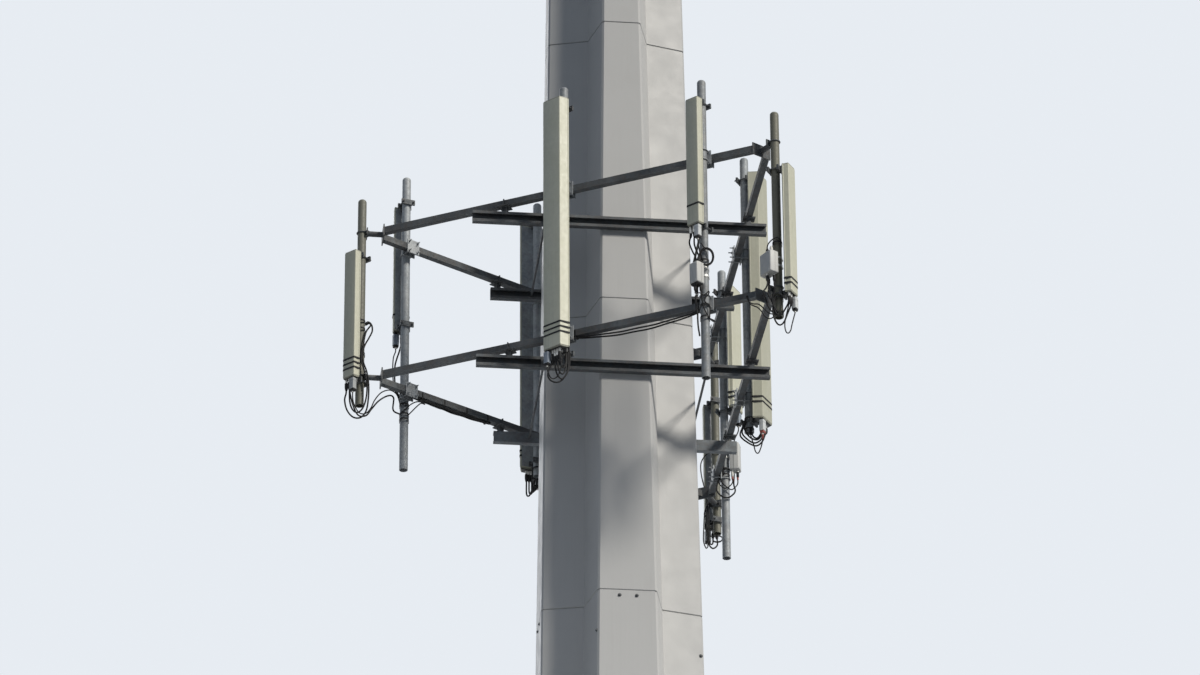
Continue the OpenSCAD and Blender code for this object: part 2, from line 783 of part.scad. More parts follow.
// A cast amplifier box on a pipe, facing +X, with two straps round the pipe
module amplifier(w, h) {
    back = pipe_d / 2 + 12;
    strap_h = 20;
    translate([back, -w / 2, -h / 2])
        cube([amplifier_d, w, h]);
    for (z = [0.02 * h, 0.38 * h])
        translate([0, 0, z]) {
            translate([pipe_d / 2 + seat_gap, -30, -strap_h / 2]) cube([12, 60, strap_h]);
            difference() {
                cylinder(d = pipe_d + 8, h = strap_h, center = true);
                cylinder(d = pipe_d + 2 * seat_gap, h = strap_h + 2, center = true);
            }
        }
}

module amplifier_on(k, which, turn, drop, w, h) {
    color(box_grey)
        at_pipe(k, which)
        translate([0, 0, -drop])
        rotate([0, 0, turn])
        amplifier(w, h);
}

pole_bay(1);  // pole_bay_1
pole_bay(2);  // pole_bay_2
pole_bay(3);  // pole_bay_3
pole_bay(4);  // pole_bay_4
pole_bay(5);  // pole_bay_5
base_flange();
pole_cap();
pole_channel(-1, front_overhang_left, front_overhang_right, upper_tier_z, false);  // front_channel_upper
pole_channel(-1, front_overhang_left, front_overhang_right, lower_tier_z, false);  // front_channel_lower
pole_channel(1, rear_overhang, rear_overhang, upper_tier_z, true);  // rear_channel_upper
pole_channel(1, rear_overhang, rear_overhang, lower_tier_z, false);  // rear_channel_lower
clamp_rods();
tube_seats();
face_tubes(0);  // face_tubes_front
face_tubes(1);  // face_tubes_right
face_tubes(2);  // face_tubes_left
standoffs(0);  // standoffs_front
standoffs(1);  // standoffs_right
standoffs(2);  // standoffs_left
pipes(0);  // pipes_front
pipes(1);  // pipes_right
pipes(2);  // pipes_left
pipe_clamps(0);  // pipe_clamps_front
pipe_clamps(1);  // pipe_clamps_right
pipe_clamps(2);  // pipe_clamps_left
antenna(0, 0);  // antenna_front_corner
antenna(0, 1);  // antenna_front_long
antenna(0, 2);  // antenna_front_end
antenna(1, 0);  // antenna_right_corner
antenna(1, 1);  // antenna_right_long
antenna(1, 2);  // antenna_right_end
antenna(2, 0);  // antenna_left_corner
antenna(2, 1);  // antenna_left_long
antenna(2, 2);  // antenna_left_end
antenna_brackets(0);  // antenna_brackets_front
antenna_brackets(1);  // antenna_brackets_right
antenna_brackets(2);  // antenna_brackets_left
tilt_units();
amplifier_on(0, 2, -8, front_amplifier_drop, amplifier_w, front_amplifier_h);  // amplifier_front_end
amplifier_on(1, 0, -116, corner_amplifier_drop, corner_amplifier_w, corner_amplifier_h);  // amplifier_right_corner
amplifier_on(1, 2, 14, right_amplifier_drop, amplifier_w, right_amplifier_h);  // amplifier_right_end
jumpers(0);  // jumpers_front
jumpers(1);  // jumpers_right
jumpers(2);  // jumpers_left
feeder_cables();
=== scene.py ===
import json
import math

import bpy
import numpy as np
from mathutils import Matrix, Vector


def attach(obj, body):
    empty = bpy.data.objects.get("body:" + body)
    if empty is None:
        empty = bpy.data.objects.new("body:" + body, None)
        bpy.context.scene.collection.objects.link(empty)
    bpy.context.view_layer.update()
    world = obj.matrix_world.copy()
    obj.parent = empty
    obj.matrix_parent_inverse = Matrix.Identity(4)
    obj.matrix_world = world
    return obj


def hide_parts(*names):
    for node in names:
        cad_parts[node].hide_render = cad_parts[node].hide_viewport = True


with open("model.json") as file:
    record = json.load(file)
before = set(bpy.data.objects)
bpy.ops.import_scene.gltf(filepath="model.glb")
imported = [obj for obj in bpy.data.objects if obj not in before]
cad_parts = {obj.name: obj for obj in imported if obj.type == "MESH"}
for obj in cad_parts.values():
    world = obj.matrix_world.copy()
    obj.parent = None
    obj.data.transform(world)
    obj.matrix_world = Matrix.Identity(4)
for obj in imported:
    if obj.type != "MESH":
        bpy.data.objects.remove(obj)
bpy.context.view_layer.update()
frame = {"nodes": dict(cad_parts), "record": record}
nodes = frame["nodes"]
print("frame loaded:", len(nodes), "nodes")

# The part's own layout, in metres and degrees, as in its source
tower = {
    "upperTier": 9.095,
    "tierGap": 1.390,
    "frameSide": 3.620,
    "frameTurn": 1.3,
    "tubeWidth": 0.055,
    "clampPlate": 0.010,
    "pipeRadius": 0.0365,
    "sectorTurns": (-15.0, -35.0, -15.0),
    "cornerPipes": (2.170, 2.170, 2.255),
    "endPipes": (1.248, 1.385, 1.397),
    "antennaGap": 0.052,
}
frameInradius = tower["frameSide"] / (2 * math.sqrt(3))
pipeOffset = tower["tubeWidth"] / 2 + tower["clampPlate"] + tower["pipeRadius"]


# Short ways to make shader nodes

def addNode(tree, kind, inputs=None, **settings):
    # A node with its settings; each input takes a link or a plain value.
    node = tree.nodes.new(kind)
    for key, value in settings.items():
        setattr(node, key, value)
    for key, value in (inputs or {}).items():
        if isinstance(value, bpy.types.NodeSocket):
            tree.links.new(value, node.inputs[key])
        else:
            node.inputs[key].default_value = value
    return node


def blendColours(tree, factor, first, second):
    # The first colour where the factor is 0, the second where it is 1.
    return addNode(tree, "ShaderNodeMix", {0: factor, 6: first, 7: second},
                   data_type="RGBA").outputs[2]


def calculate(tree, operation, first, second, clamp=False):
    # One sum on two numbers or links.
    return addNode(tree, "ShaderNodeMath", {0: first, 1: second},
                   operation=operation, use_clamp=clamp).outputs[0]


def remap(tree, value, low, high, start=0.0, end=1.0):
    # The span from low to high laid over start to end, and held at its ends.
    return addNode(tree, "ShaderNodeMapRange",
                   {"Value": value, "From Min": low, "From Max": high,
                    "To Min": start, "To Max": end}, clamp=True).outputs[0]


def noise(tree, spot, scale, detail=2.0, roughness=0.5):
    # A cloudy noise about 0.5.
    return addNode(tree, "ShaderNodeTexNoise", {"Vector": spot, "Scale": scale, "Detail": detail,
                                                "Roughness": roughness}).outputs[0]


def objectSpot(tree):
    # Where a point lies, in the object's own metres.
    return addNode(tree, "ShaderNodeTexCoord").outputs["Object"]


# Camera and light

cameraSettings = {
    "position": (-4.8146, -43.9331, -16.6005),
    "heading": 83.927,
    "pitch": 29.323,
    "roll": -0.4,
    "lens": 180.0,
    "sensor": 36.0,
    "nearest": 1.0,
    "farthest": 300.0,
}


def aimedMatrix(position, heading, pitch, roll):
    # Columns are the view's right, its up and the way back from what it looks at.
    h, p, r = (math.radians(a) for a in (heading, pitch, roll))
    forward = Vector((math.cos(p) * math.cos(h), math.cos(p) * math.sin(h), math.sin(p)))
    level = Vector((math.sin(h), -math.cos(h), 0.0))
    above = level.cross(forward)
    right = math.cos(r) * level + math.sin(r) * above
    up = right.cross(forward)
    turn = Matrix((right, up, -forward)).transposed().to_4x4()
    return Matrix.Translation(Vector(position)) @ turn


cameraData = bpy.data.cameras.new("photoCamera")
cameraData.lens = cameraSettings["lens"]
cameraData.sensor_width = cameraSettings["sensor"]
cameraData.clip_start = cameraSettings["nearest"]
cameraData.clip_end = cameraSettings["farthest"]
photoCamera = bpy.data.objects.new("photoCamera", cameraData)
photoCamera.matrix_world = aimedMatrix(
    cameraSettings["position"], cameraSettings["heading"],
    cameraSettings["pitch"], cameraSettings["roll"])
bpy.context.scene.collection.objects.link(photoCamera)
bpy.context.scene.camera = photoCamera
bpy.context.scene.view_settings.view_transform = "Standard"

studio = {
    "backdrop": (0.80, 0.84, 0.89, 1.0),
    "fill": (0.66, 0.79, 1.0, 1.0),
    "fillLow": (0.17, 0.19, 0.22, 1.0),
    "fillSpan": (-0.3, 0.4),
    "fillStrength": 0.34,
    # azimuth, elevation, strength, the disc's angle, colour
    "keyLight": (-45.0, 40.0, 3.6, 10.0, (1.0, 0.95, 0.87)),
    "rimLight": (110.0, 35.0, 0.6, 30.0, (1.0, 1.0, 1.0)),
    "floorRadius": 7.5,
    "floorHole": 0.02,
    "floorHeights": (-0.06, -0.004),
    "floorColour": (0.80, 0.81, 0.82, 1.0),
}

for name in ("keyLight", "rimLight"):
    azimuth, elevation, strength, angle, colour = studio[name]
    lampData = bpy.data.lights.new(name, "SUN")
    lampData.energy = strength
    lampData.angle = math.radians(angle)
    lampData.color = colour
    lamp = bpy.data.objects.new(name, lampData)
    a, e = math.radians(azimuth), math.radians(elevation)
    towards = Vector((math.cos(e) * math.cos(a), math.cos(e) * math.sin(a), math.sin(e)))
    lamp.matrix_world = towards.to_track_quat("Z", "Y").to_matrix().to_4x4()
    bpy.context.scene.collection.objects.link(lamp)

# The world lights by a ramp from low to high, and shows the plain backdrop
world = bpy.data.worlds.new("studioWorld")
bpy.context.scene.world = world
world.use_nodes = True
worldTree = world.node_tree
worldTree.nodes.clear()
direction = addNode(worldTree, "ShaderNodeSeparateXYZ", {0: objectSpot(worldTree)})
rise = remap(worldTree, direction.outputs["Z"], *studio["fillSpan"])
fillTone = blendColours(worldTree, rise, studio["fillLow"], studio["fill"])
fillLight = addNode(worldTree, "ShaderNodeBackground",
                    {"Color": fillTone, "Strength": studio["fillStrength"]})
backdrop = addNode(worldTree, "ShaderNodeBackground", {"Color": studio["backdrop"]})
rays = addNode(worldTree, "ShaderNodeLightPath").outputs
seen = calculate(worldTree, "MAXIMUM", rays["Is Camera Ray"], rays["Is Glossy Ray"])
seen = calculate(worldTree, "MAXIMUM", seen, rays["Is Transmission Ray"])
pickWorld = addNode(worldTree, "ShaderNodeMixShader",
                    {0: seen, 1: fillLight.outputs[0], 2: backdrop.outputs[0]})
addNode(worldTree, "ShaderNodeOutputWorld", {"Surface": pickWorld.outputs[0]})
print("camera and light placed")


# Effects that the finishes share

def startGroup(name, inputs, outputs):
    # A node group of plain numbers: inputs by name with their defaults, outputs by name.
    tree = bpy.data.node_groups.new(name, "ShaderNodeTree")
    for key, default in inputs.items():
        socket = tree.interface.new_socket(key, in_out="INPUT", socket_type="NodeSocketFloat")
        socket.default_value = default
    for key in outputs:
        tree.interface.new_socket(key, in_out="OUTPUT", socket_type="NodeSocketFloat")
    given, result = tree.nodes.new("NodeGroupInput"), tree.nodes.new("NodeGroupOutput")
    return tree, given.outputs, result.inputs


def buildBlotchGroup():
    # Soft cloudy patches: a noise spread out round its middle, and a noise nine times finer.
    tree, given, result = startGroup("softBlotches", {"Size": 3.0, "Sharpness": 0.2},
                                     ("Mask", "Fine"))
    spot = objectSpot(tree)
    low = calculate(tree, "SUBTRACT", 0.5, given["Sharpness"])
    high = calculate(tree, "ADD", 0.5, given["Sharpness"])
    fineSize = calculate(tree, "MULTIPLY", given["Size"], 9.0)
    tree.links.new(remap(tree, noise(tree, spot, given["Size"], 5.0, 0.6), low, high),
                   result["Mask"])
    tree.links.new(noise(tree, spot, fineSize, 3.0, 0.55), result["Fine"])
    return tree


def buildStreakGroup():
    # Rain streaks: a noise squeezed across the surface and drawn out along Z, times a slower
    # noise, so that each run fades in and out.
    tree, given, result = startGroup("rainStreaks", {"Across": 28.0, "Along": 0.7, "Amount": 0.5},
                                     ("Mask",))
    spot = objectSpot(tree)
    stretch = addNode(tree, "ShaderNodeCombineXYZ",
                      {"X": given["Across"], "Y": given["Across"], "Z": given["Along"]})
    squeezed = addNode(tree, "ShaderNodeVectorMath", {0: spot, 1: stretch.outputs[0]},
                       operation="MULTIPLY")
    lines = remap(tree, noise(tree, squeezed.outputs[0], 1.0, 4.0, 0.6), 0.50, 0.72)
    patches = remap(tree, noise(tree, spot, 1.3), 0.38, 0.66)
    both = calculate(tree, "MULTIPLY", lines, patches)
    tree.links.new(calculate(tree, "MULTIPLY", both, given["Amount"], clamp=True), result["Mask"])
    return tree


def buildEdgeGroup():
    # Edge wear: where a rounded normal turns away from the true one, broken by noise.
    tree, given, result = startGroup("edgeWear", {"Radius": 0.004, "Amount": 1.0}, ("Mask",))
    rounded = addNode(tree, "ShaderNodeBevel", {"Radius": given["Radius"]}, samples=4)
    true = addNode(tree, "ShaderNodeNewGeometry")
    match = addNode(tree, "ShaderNodeVectorMath",
                    {0: rounded.outputs[0], 1: true.outputs["Normal"]}, operation="DOT_PRODUCT")
    edge = remap(tree, match.outputs["Value"], 0.995, 0.86)
    grit = remap(tree, noise(tree, objectSpot(tree), 90.0, 4.0), 0.35, 0.62)
    worn = calculate(tree, "MULTIPLY", edge, grit)
    tree.links.new(calculate(tree, "MULTIPLY", worn, given["Amount"], clamp=True), result["Mask"])
    return tree


def buildDustGroup():
    # By lie: a mask where a face looks up, for dust, and one where it looks down, for darkening;
    # each times a patchy noise.
    tree, given, result = startGroup("upAndDownByLie", {"Amount": 0.5}, ("Top", "Under"))
    lie = addNode(tree, "ShaderNodeNewGeometry")
    parts = addNode(tree, "ShaderNodeSeparateXYZ", {0: lie.outputs["Normal"]})
    patches = remap(tree, noise(tree, objectSpot(tree), 14.0, 5.0, 0.65), 0.3, 0.62)
    for key, low, high in (("Top", 0.15, 0.9), ("Under", -0.15, -0.9)):
        facing = remap(tree, parts.outputs["Z"], low, high)
        broken = calculate(tree, "MULTIPLY", facing, patches)
        tree.links.new(calculate(tree, "MULTIPLY", broken, given["Amount"], clamp=True),
                       result[key])
    return tree


def buildGrainGroup():
    # Fine surface height: two noises summed, for orange peel, cast skin or zinc crystals.
    tree, given, result = startGroup("surfaceGrain", {"Scale": 300.0, "Depth": 1.0}, ("Height",))
    spot = objectSpot(tree)
    coarse = calculate(tree, "MULTIPLY", given["Scale"], 0.12)
    total = calculate(tree, "ADD", noise(tree, spot, given["Scale"]),
                      noise(tree, spot, coarse, 3.0))
    tree.links.new(calculate(tree, "MULTIPLY", total, given["Depth"]), result["Height"])
    return tree


effects = {
    "blotches": buildBlotchGroup(),
    "streaks": buildStreakGroup(),
    "edges": buildEdgeGroup(),
    "dust": buildDustGroup(),
    "grain": buildGrainGroup(),
}


def placeEffect(tree, effect, values):
    # The values go to the group's inputs in their order.
    node = tree.nodes.new("ShaderNodeGroup")
    node.node_tree = effects[effect]
    for socket, value in zip(node.inputs, values):
        socket.default_value = value
    return node.outputs


# Finishes

def tone(red, green, blue, shade=1.0):
    # Each part of a colour times the shade.
    return (red * shade, green * shade, blue * shade, 1.0)


def startMaterial(name, roughness=0.5, metallic=0.0, specular=0.5):
    # A material with nothing but its shader.
    material = bpy.data.materials.new(name)
    material.use_nodes = True
    tree = material.node_tree
    tree.nodes.clear()
    shader = addNode(tree, "ShaderNodeBsdfPrincipled",
                     {"Roughness": roughness, "Metallic": metallic,
                      "Specular IOR Level": specular})
    addNode(tree, "ShaderNodeOutputMaterial", {"Surface": shader.outputs[0]})
    return material, tree, shader


def addLayers(tree, colour, layers):
    # Each layer lays its colour over the last by one output of an effect times a share.
    for effect, output, values, share, layerColour in layers:
        mask = placeEffect(tree, effect, values)[output]
        if share != 1.0:
            mask = calculate(tree, "MULTIPLY", mask, share)
        colour = blendColours(tree, mask, colour, layerColour)
    return colour


def closeMaterial(tree, shader, colour, fine, s):
    # The colour, a roughness that follows the fine noise, and the grain as a bump.
    tree.links.new(colour, shader.inputs["Base Color"])
    tree.links.new(remap(tree, fine, 0.3, 0.7, *s["roughness"]), shader.inputs["Roughness"])
    scale, strength, distance = s["grain"]
    grain = placeEffect(tree, "grain", (scale, 1.0))
    bump = addNode(tree, "ShaderNodeBump",
                   {"Height": grain["Height"], "Strength": strength, "Distance": distance})
    tree.links.new(bump.outputs[0], shader.inputs["Normal"])


def makeFinish(name, s):
    # Two colours blended by soft blotches, under the finish's layers.
    material, tree, shader = startMaterial(name, metallic=s.get("metallic", 0.0),
                                           specular=s["specular"])
    blotch = placeEffect(tree, "blotches", s["blotches"])
    first, second, share = s["base"]
    mask = blotch["Mask"] if share == 1.0 else calculate(tree, "MULTIPLY", blotch["Mask"], share)
    colour = addLayers(tree, blendColours(tree, mask, first, second), s["layers"])
    closeMaterial(tree, shader, colour, blotch["Fine"], s)
    return material


def polePaint():
    # Chalky grey paint with wide and narrow rain streaks, and darker on what faces down.
    pale, grime = tone(0.450, 0.450, 0.442), tone(0.320, 0.315, 0.300)
    return {
        "specular": 0.4,
        "blotches": (0.7, 0.22),
        "base": (tone(0.425, 0.425, 0.415), pale, 1.0),
        "layers": [
            ("streaks", "Mask", (13.0, 0.35, 0.20), 1.0, tone(0.385, 0.380, 0.365)),
            ("streaks", "Mask", (60.0, 0.9, 0.12), 1.0, grime),
            ("edges", "Mask", (0.012, 0.5), 1.0, pale),
            ("dust", "Under", (0.55,), 1.0, grime),
        ],
        "roughness": (0.50, 0.62),
        "grain": (160.0, 0.12, 0.004),
    }


def radome(shade=1.0):
    # Yellowed plastic, bleached in patches and on its edges, with specks of lichen.
    bleached, grime = tone(0.545, 0.540, 0.440, shade), tone(0.270, 0.275, 0.205, shade)
    return {
        "specular": 0.45,
        "blotches": (3.2, 0.24),
        "base": (tone(0.490, 0.488, 0.375, shade), bleached, 1.0),
        "layers": [
            ("blotches", "Mask", (26.0, 0.09), 0.10, grime),
            ("streaks", "Mask", (70.0, 1.6, 0.30), 1.0, grime),
            ("edges", "Mask", (0.005, 0.45), 1.0, bleached),
            ("dust", "Top", (0.6,), 1.0, grime),
        ],
        "roughness": (0.42, 0.60),
        "grain": (420.0, 0.10, 0.002),
    }


def weathered(shade=1.0):
    # Dull old zinc gone dark, with rust spots, dark runs and dust on what faces up.
    dark, dust = tone(0.046, 0.051, 0.056, shade), tone(0.300, 0.300, 0.285)
    return {
        "specular": 0.35,
        "metallic": 0.15,
        "blotches": (4.5, 0.18),
        "base": (dark, tone(0.104, 0.116, 0.124, shade), 1.0),
        "layers": [
            ("blotches", "Mask", (24.0, 0.07), 0.22, tone(0.095, 0.066, 0.045)),
            ("streaks", "Mask", (40.0, 5.0, 0.5), 1.0, dark),
            ("edges", "Mask", (0.004, 0.7), 1.0, dust),
            ("dust", "Top", (1.0,), 1.0, dust),
        ],
        "roughness": (0.55, 0.80),
        "grain": (380.0, 0.25, 0.002),
    }


def coated(colour, worn, grime, roughness, specular=0.45, metallic=0.0):
    # A moulded or powder-coated finish: soft tone changes, grime runs and rubbed edges.
    return {
        "specular": specular,
        "metallic": metallic,
        "blotches": (9.0, 0.25),
        "base": (tone(*colour), tone(*worn), 0.35),
        "layers": [
            ("streaks", "Mask", (95.0, 4.0, 0.5), 1.0, tone(*grime)),
            ("edges", "Mask", (0.003, 0.6), 1.0, tone(*worn)),
            ("dust", "Under", (0.5,), 1.0, tone(*grime)),
        ],
        "roughness": roughness,
        "grain": (600.0, 0.10, 0.001),
    }


zincSettings = {
    "dark": (0.108, 0.121, 0.132),
    "pale": (0.182, 0.198, 0.212),
    "bloom": (0.255, 0.265, 0.265),
    "rust": (0.135, 0.088, 0.052, 1.0),
    "aged": (0.112, 0.108, 0.076, 1.0),
    "underside": (0.09, 0.088, 0.08, 1.0),
    "farReach": (1.95, 2.05),
    "roughness": (0.50, 0.72),
    "spangle": 55.0,
    "spangleSpan": (0.10, 0.90),
    "metallic": 0.15,
    "grain": (500.0, 0.14, 0.0015),
}


def makeZinc(name, s, rustAmount, shade, cornersAged=0.0):
    # Zinc crystals: Voronoi cells, each with its own grey, under bloom and a little rust.
    material, tree, shader = startMaterial(name, metallic=s["metallic"], specular=0.5)
    dark, pale, bloom = (tone(*s[k], shade) for k in ("dark", "pale", "bloom"))
    spot = objectSpot(tree)
    cells = addNode(tree, "ShaderNodeTexVoronoi", {"Vector": spot, "Scale": s["spangle"]})
    cellTone = addNode(tree, "ShaderNodeSeparateColor", {0: cells.outputs["Color"]})
    spangle = remap(tree, cellTone.outputs[0], 0.0, 1.0, *s["spangleSpan"])
    blotch = placeEffect(tree, "blotches", (7.0, 0.16))
    colour = blendColours(tree, spangle, dark, pale)
    colour = blendColours(tree, calculate(tree, "MULTIPLY", blotch["Mask"], 0.55), colour, bloom)
    colour = addLayers(tree, colour, [("streaks", "Mask", (85.0, 2.2, 0.55), 1.0, dark)])
    spots = placeEffect(tree, "blotches", (19.0, 0.06))
    rust = calculate(tree, "MULTIPLY", spots["Mask"], rustAmount)
    rust = calculate(tree, "MULTIPLY", rust, blotch["Fine"])
    colour = blendColours(tree, rust, colour, s["rust"])
    if cornersAged:
        # the pipes far out at the corners have gone brown
        flat = addNode(tree, "ShaderNodeVectorMath", {0: spot, 1: (1.0, 1.0, 0.0)},
                       operation="MULTIPLY")
        reach = addNode(tree, "ShaderNodeVectorMath", {0: flat.outputs[0]}, operation="LENGTH")
        far = remap(tree, reach.outputs["Value"], *s["farReach"], 0.0, cornersAged)
        colour = blendColours(tree, far, colour, s["aged"])
    colour = addLayers(tree, colour, [
        ("edges", "Mask", (0.003, 0.8), 1.0, bloom),
        ("dust", "Top", (0.6,), 1.0, bloom),
        ("dust", "Under", (0.6,), 0.7, s["underside"]),
    ])
    closeMaterial(tree, shader, colour, blotch["Fine"], s)
    return material


# Named by the record's slots, by the nodes that get a lighter or darker copy of a finish as
# painted light, or by what is on the new pieces
materials = {
    "galvanised_steel": makeZinc("clampZinc", zincSettings, 0.30, 1.7),
    # each sector's pipes take a copy of one zinc; the shade factor that makes a copy lighter or
    # darker is painted light
    "pipes_front": makeZinc("frontPipeZinc", zincSettings, 0.25, 1.10, 0.80),
    "pipes_right": makeZinc("rightPipeZinc", zincSettings, 0.25, 1.55, 0.93),
    "pipes_left": makeZinc("leftPipeZinc", zincSettings, 0.20, 1.70, 0.90),
}
finishes = {
    "pole_paint": polePaint(),
    "radome": radome(),
    # lighter and darker copies of the radome: painted light on the front long antenna, painted
    # shade on the right long one
    "paintedLightRadome": radome(1.15),
    "paintedShadeRadome": radome(0.80),
    "weathered_steel": weathered(),
    # a lighter copy of the weathered steel for this channel: painted light
    "rear_channel_lower": weathered(1.9),
    "unit_paint": coated((0.500, 0.505, 0.490), (0.57, 0.57, 0.55), (0.25, 0.245, 0.22),
                         (0.46, 0.62)),
    "unit_plastic": coated((0.560, 0.580, 0.585), (0.64, 0.655, 0.65), (0.26, 0.255, 0.23),
                           (0.40, 0.56)),
    "cable_jacket": coated((0.012, 0.012, 0.013), (0.035, 0.035, 0.036), (0.045, 0.043, 0.040),
                           (0.50, 0.68), 0.15),
    "band": coated((0.016, 0.016, 0.017), (0.04, 0.04, 0.04), (0.045, 0.043, 0.040),
                   (0.50, 0.68), 0.15),
    "capPlastic": coated((0.260, 0.258, 0.205), (0.34, 0.335, 0.27), (0.10, 0.10, 0.07),
                         (0.45, 0.62)),
    "underside": coated((0.030, 0.030, 0.028), (0.06, 0.06, 0.055), (0.02, 0.02, 0.018),
                        (0.5, 0.7)),
    "plated": coated((0.52, 0.52, 0.50), (0.66, 0.65, 0.62), (0.22, 0.20, 0.16),
                     (0.30, 0.46), metallic=0.6),
    "paleBoot": coated((0.62, 0.61, 0.57), (0.68, 0.67, 0.63), (0.30, 0.28, 0.24), (0.45, 0.60)),
    "blueCase": coated((0.250, 0.290, 0.340), (0.33, 0.37, 0.41), (0.12, 0.12, 0.12),
                       (0.42, 0.58)),
    "greyCase": coated((0.330, 0.345, 0.350), (0.41, 0.42, 0.42), (0.15, 0.15, 0.14),
                       (0.42, 0.58)),
    "redTip": coated((0.300, 0.070, 0.055), (0.38, 0.12, 0.09), (0.12, 0.05, 0.04), (0.45, 0.60)),
}
materials.update({name: makeFinish(name, finish) for name, finish in finishes.items()})
for part in frame["record"]["subparts"]:
    target = nodes[part["node"]].data
    target.materials.clear()
    target.materials.append(materials.get(part["node"], materials[part["material_slot"]]))
print("materials made:", len(materials))


# Shapes as arrays: each is its points, its faces' corners and sizes, and its material's name

def closedRows(rows, material):
    # rows[i, j] is a grid of points that closes round j, with a flat lid on its first and last
    # row.
    rowCount, columnCount = rows.shape[:2]
    i = np.arange(rowCount - 1)[:, None] * columnCount
    j = np.arange(columnCount)[None, :]
    k = (j + 1) % columnCount
    quads = np.stack([i + j, i + k, i + columnCount + k, i + columnCount + j], -1).reshape(-1, 4)
    lastRow = np.arange(columnCount) + (rowCount - 1) * columnCount
    corners = np.concatenate([quads.ravel(), np.arange(columnCount)[::-1], lastRow])
    sizes = np.concatenate([np.full(len(quads), 4), [columnCount, columnCount]])
    return {"points": rows.reshape(-1, 3), "corners": corners, "sizes": sizes,
            "material": material}


def roundedOutline(corners, radii, steps=5):
    # Each corner of a polygon gives way to an arc that touches both of its sides.
    corners = np.asarray(corners, float)
    radii = np.asarray(radii, float)[:, None]
    back = np.roll(corners, 1, 0) - corners
    ahead = np.roll(corners, -1, 0) - corners
    back /= np.linalg.norm(back, axis=1, keepdims=True)
    ahead /= np.linalg.norm(ahead, axis=1, keepdims=True)
    half = np.arccos(np.clip((back * ahead).sum(1, keepdims=True), -1, 1)) / 2
    bisector = back + ahead
    bisector /= np.linalg.norm(bisector, axis=1, keepdims=True)
    centre = corners + bisector * radii / np.sin(half)
    start = corners + back * radii / np.tan(half) - centre
    end = corners + ahead * radii / np.tan(half) - centre
    turn = np.arctan2(start[:, :1] * end[:, 1:] - start[:, 1:] * end[:, :1],
                      (start * end).sum(1, keepdims=True))
    a = turn * np.linspace(0, 1, steps)[None, :]
    x = start[:, :1] * np.cos(a) - start[:, 1:] * np.sin(a)
    y = start[:, :1] * np.sin(a) + start[:, 1:] * np.cos(a)
    return (centre[:, None, :] + np.stack([x, y], -1)).reshape(-1, 2)


def boxOutline(width, height, radius):
    # A rectangle about the middle whose corners are arcs of the radius.
    w, h = width / 2, height / 2
    return roundedOutline([(-w, -h), (w, -h), (w, h), (-w, h)], [radius] * 4)


def roundOutline(radius, sides=32):
    # Points on a circle: radius times the cosine and sine of evenly spaced angles.
    a = np.linspace(0, 2 * np.pi, sides, endpoint=False)
    return np.column_stack([radius * np.cos(a), radius * np.sin(a)])


def inset(outline, amount):
    # Each point moves inward along the mean of its two sides' normals.
    side = np.roll(outline, -1, 0) - outline
    normal = np.stack([side[:, 1], -side[:, 0]], -1)
    normal /= np.maximum(np.linalg.norm(normal, axis=1, keepdims=True), 1e-9)
    mean = normal + np.roll(normal, 1, 0)
    mean /= np.maximum(np.linalg.norm(mean, axis=1, keepdims=True), 1e-9)
    return outline - mean * amount


def risingSolid(outline, levels, material):
    # The outline carried up Z through [height, inset] levels.
    rows = [np.column_stack([inset(outline, d), np.full(len(outline), z)]) for z, d in levels]
    return closedRows(np.array(rows), material)


def bevelledSolid(outline, low, high, material, bevel=0.001):
    # The outline carried from low to high, with a small bevel at each end.
    return risingSolid(outline, [(low, bevel), (low + bevel, 0), (high - bevel, 0),
                                 (high, bevel)], material)


def turnedSolid(profile, sides, material):
    # A profile of [radius, height] pairs turned about Z.
    profile = np.asarray(profile, float)
    a = np.linspace(0, 2 * np.pi, sides, endpoint=False)
    rows = np.stack([profile[:, :1] * np.cos(a), profile[:, :1] * np.sin(a),
                     np.repeat(profile[:, 1:], sides, 1)], -1)
    return closedRows(rows, material)


def laidForward(shape):
    # What rose along Z now runs along X: Z goes to X, X to Y and Y to Z.
    return dict(shape, points=shape["points"][:, [2, 0, 1]])


def bandSolid(outline, thickness, low, high, material):
    # A strap round an outline: a bevelled section of [outward, height] carried along the
    # outline and closed both ways.
    b = min(thickness, high - low) * 0.25
    section = [(thickness - b, low), (thickness, low + b), (thickness, high - b),
               (thickness - b, high), (b, high), (0, high - b), (0, low + b), (b, low)]
    sides = len(outline)
    rows = np.array([np.column_stack([inset(outline, -out), np.full(sides, z)])
                     for out, z in section])
    i = np.arange(len(section))[:, None]
    j = np.arange(sides)[None, :]
    nextI, nextJ = (i + 1) % len(section) * sides, (j + 1) % sides
    quads = np.stack([i * sides + j, i * sides + nextJ, nextI + nextJ, nextI + j], -1)
    return {"points": rows.reshape(-1, 3), "corners": quads.ravel(),
            "sizes": np.full(quads.size // 4, 4), "material": material}


def evenPath(knots, step=0.012):
    # A Catmull-Rom curve through the knots, resampled so that its points lie one step apart.
    p = np.asarray(knots, float)
    p = np.vstack([2 * p[0] - p[1], p, 2 * p[-1] - p[-2]])
    t = np.linspace(0, len(p) - 3, len(knots) * 16)
    i = np.minimum(t.astype(int), len(p) - 4)
    f = (t - i)[:, None]
    a, b, c, d = p[i], p[i + 1], p[i + 2], p[i + 3]
    fine = 0.5 * (2 * b + (c - a) * f + (2 * a - 5 * b + 4 * c - d) * f ** 2
                  + (3 * b - a - 3 * c + d) * f ** 3)
    run = np.concatenate([[0], np.cumsum(np.linalg.norm(np.diff(fine, axis=0), axis=1))])
    return alongPath(fine, np.linspace(0, run[-1], max(int(run[-1] / step), 6)))


def alongPath(path, distances):
    # Points at the distances along a path, by straight lines between its own points.
    run = np.concatenate([[0], np.cumsum(np.linalg.norm(np.diff(path, axis=0), axis=1))])
    return np.stack([np.interp(distances, run, path[:, axis]) for axis in range(3)], -1)


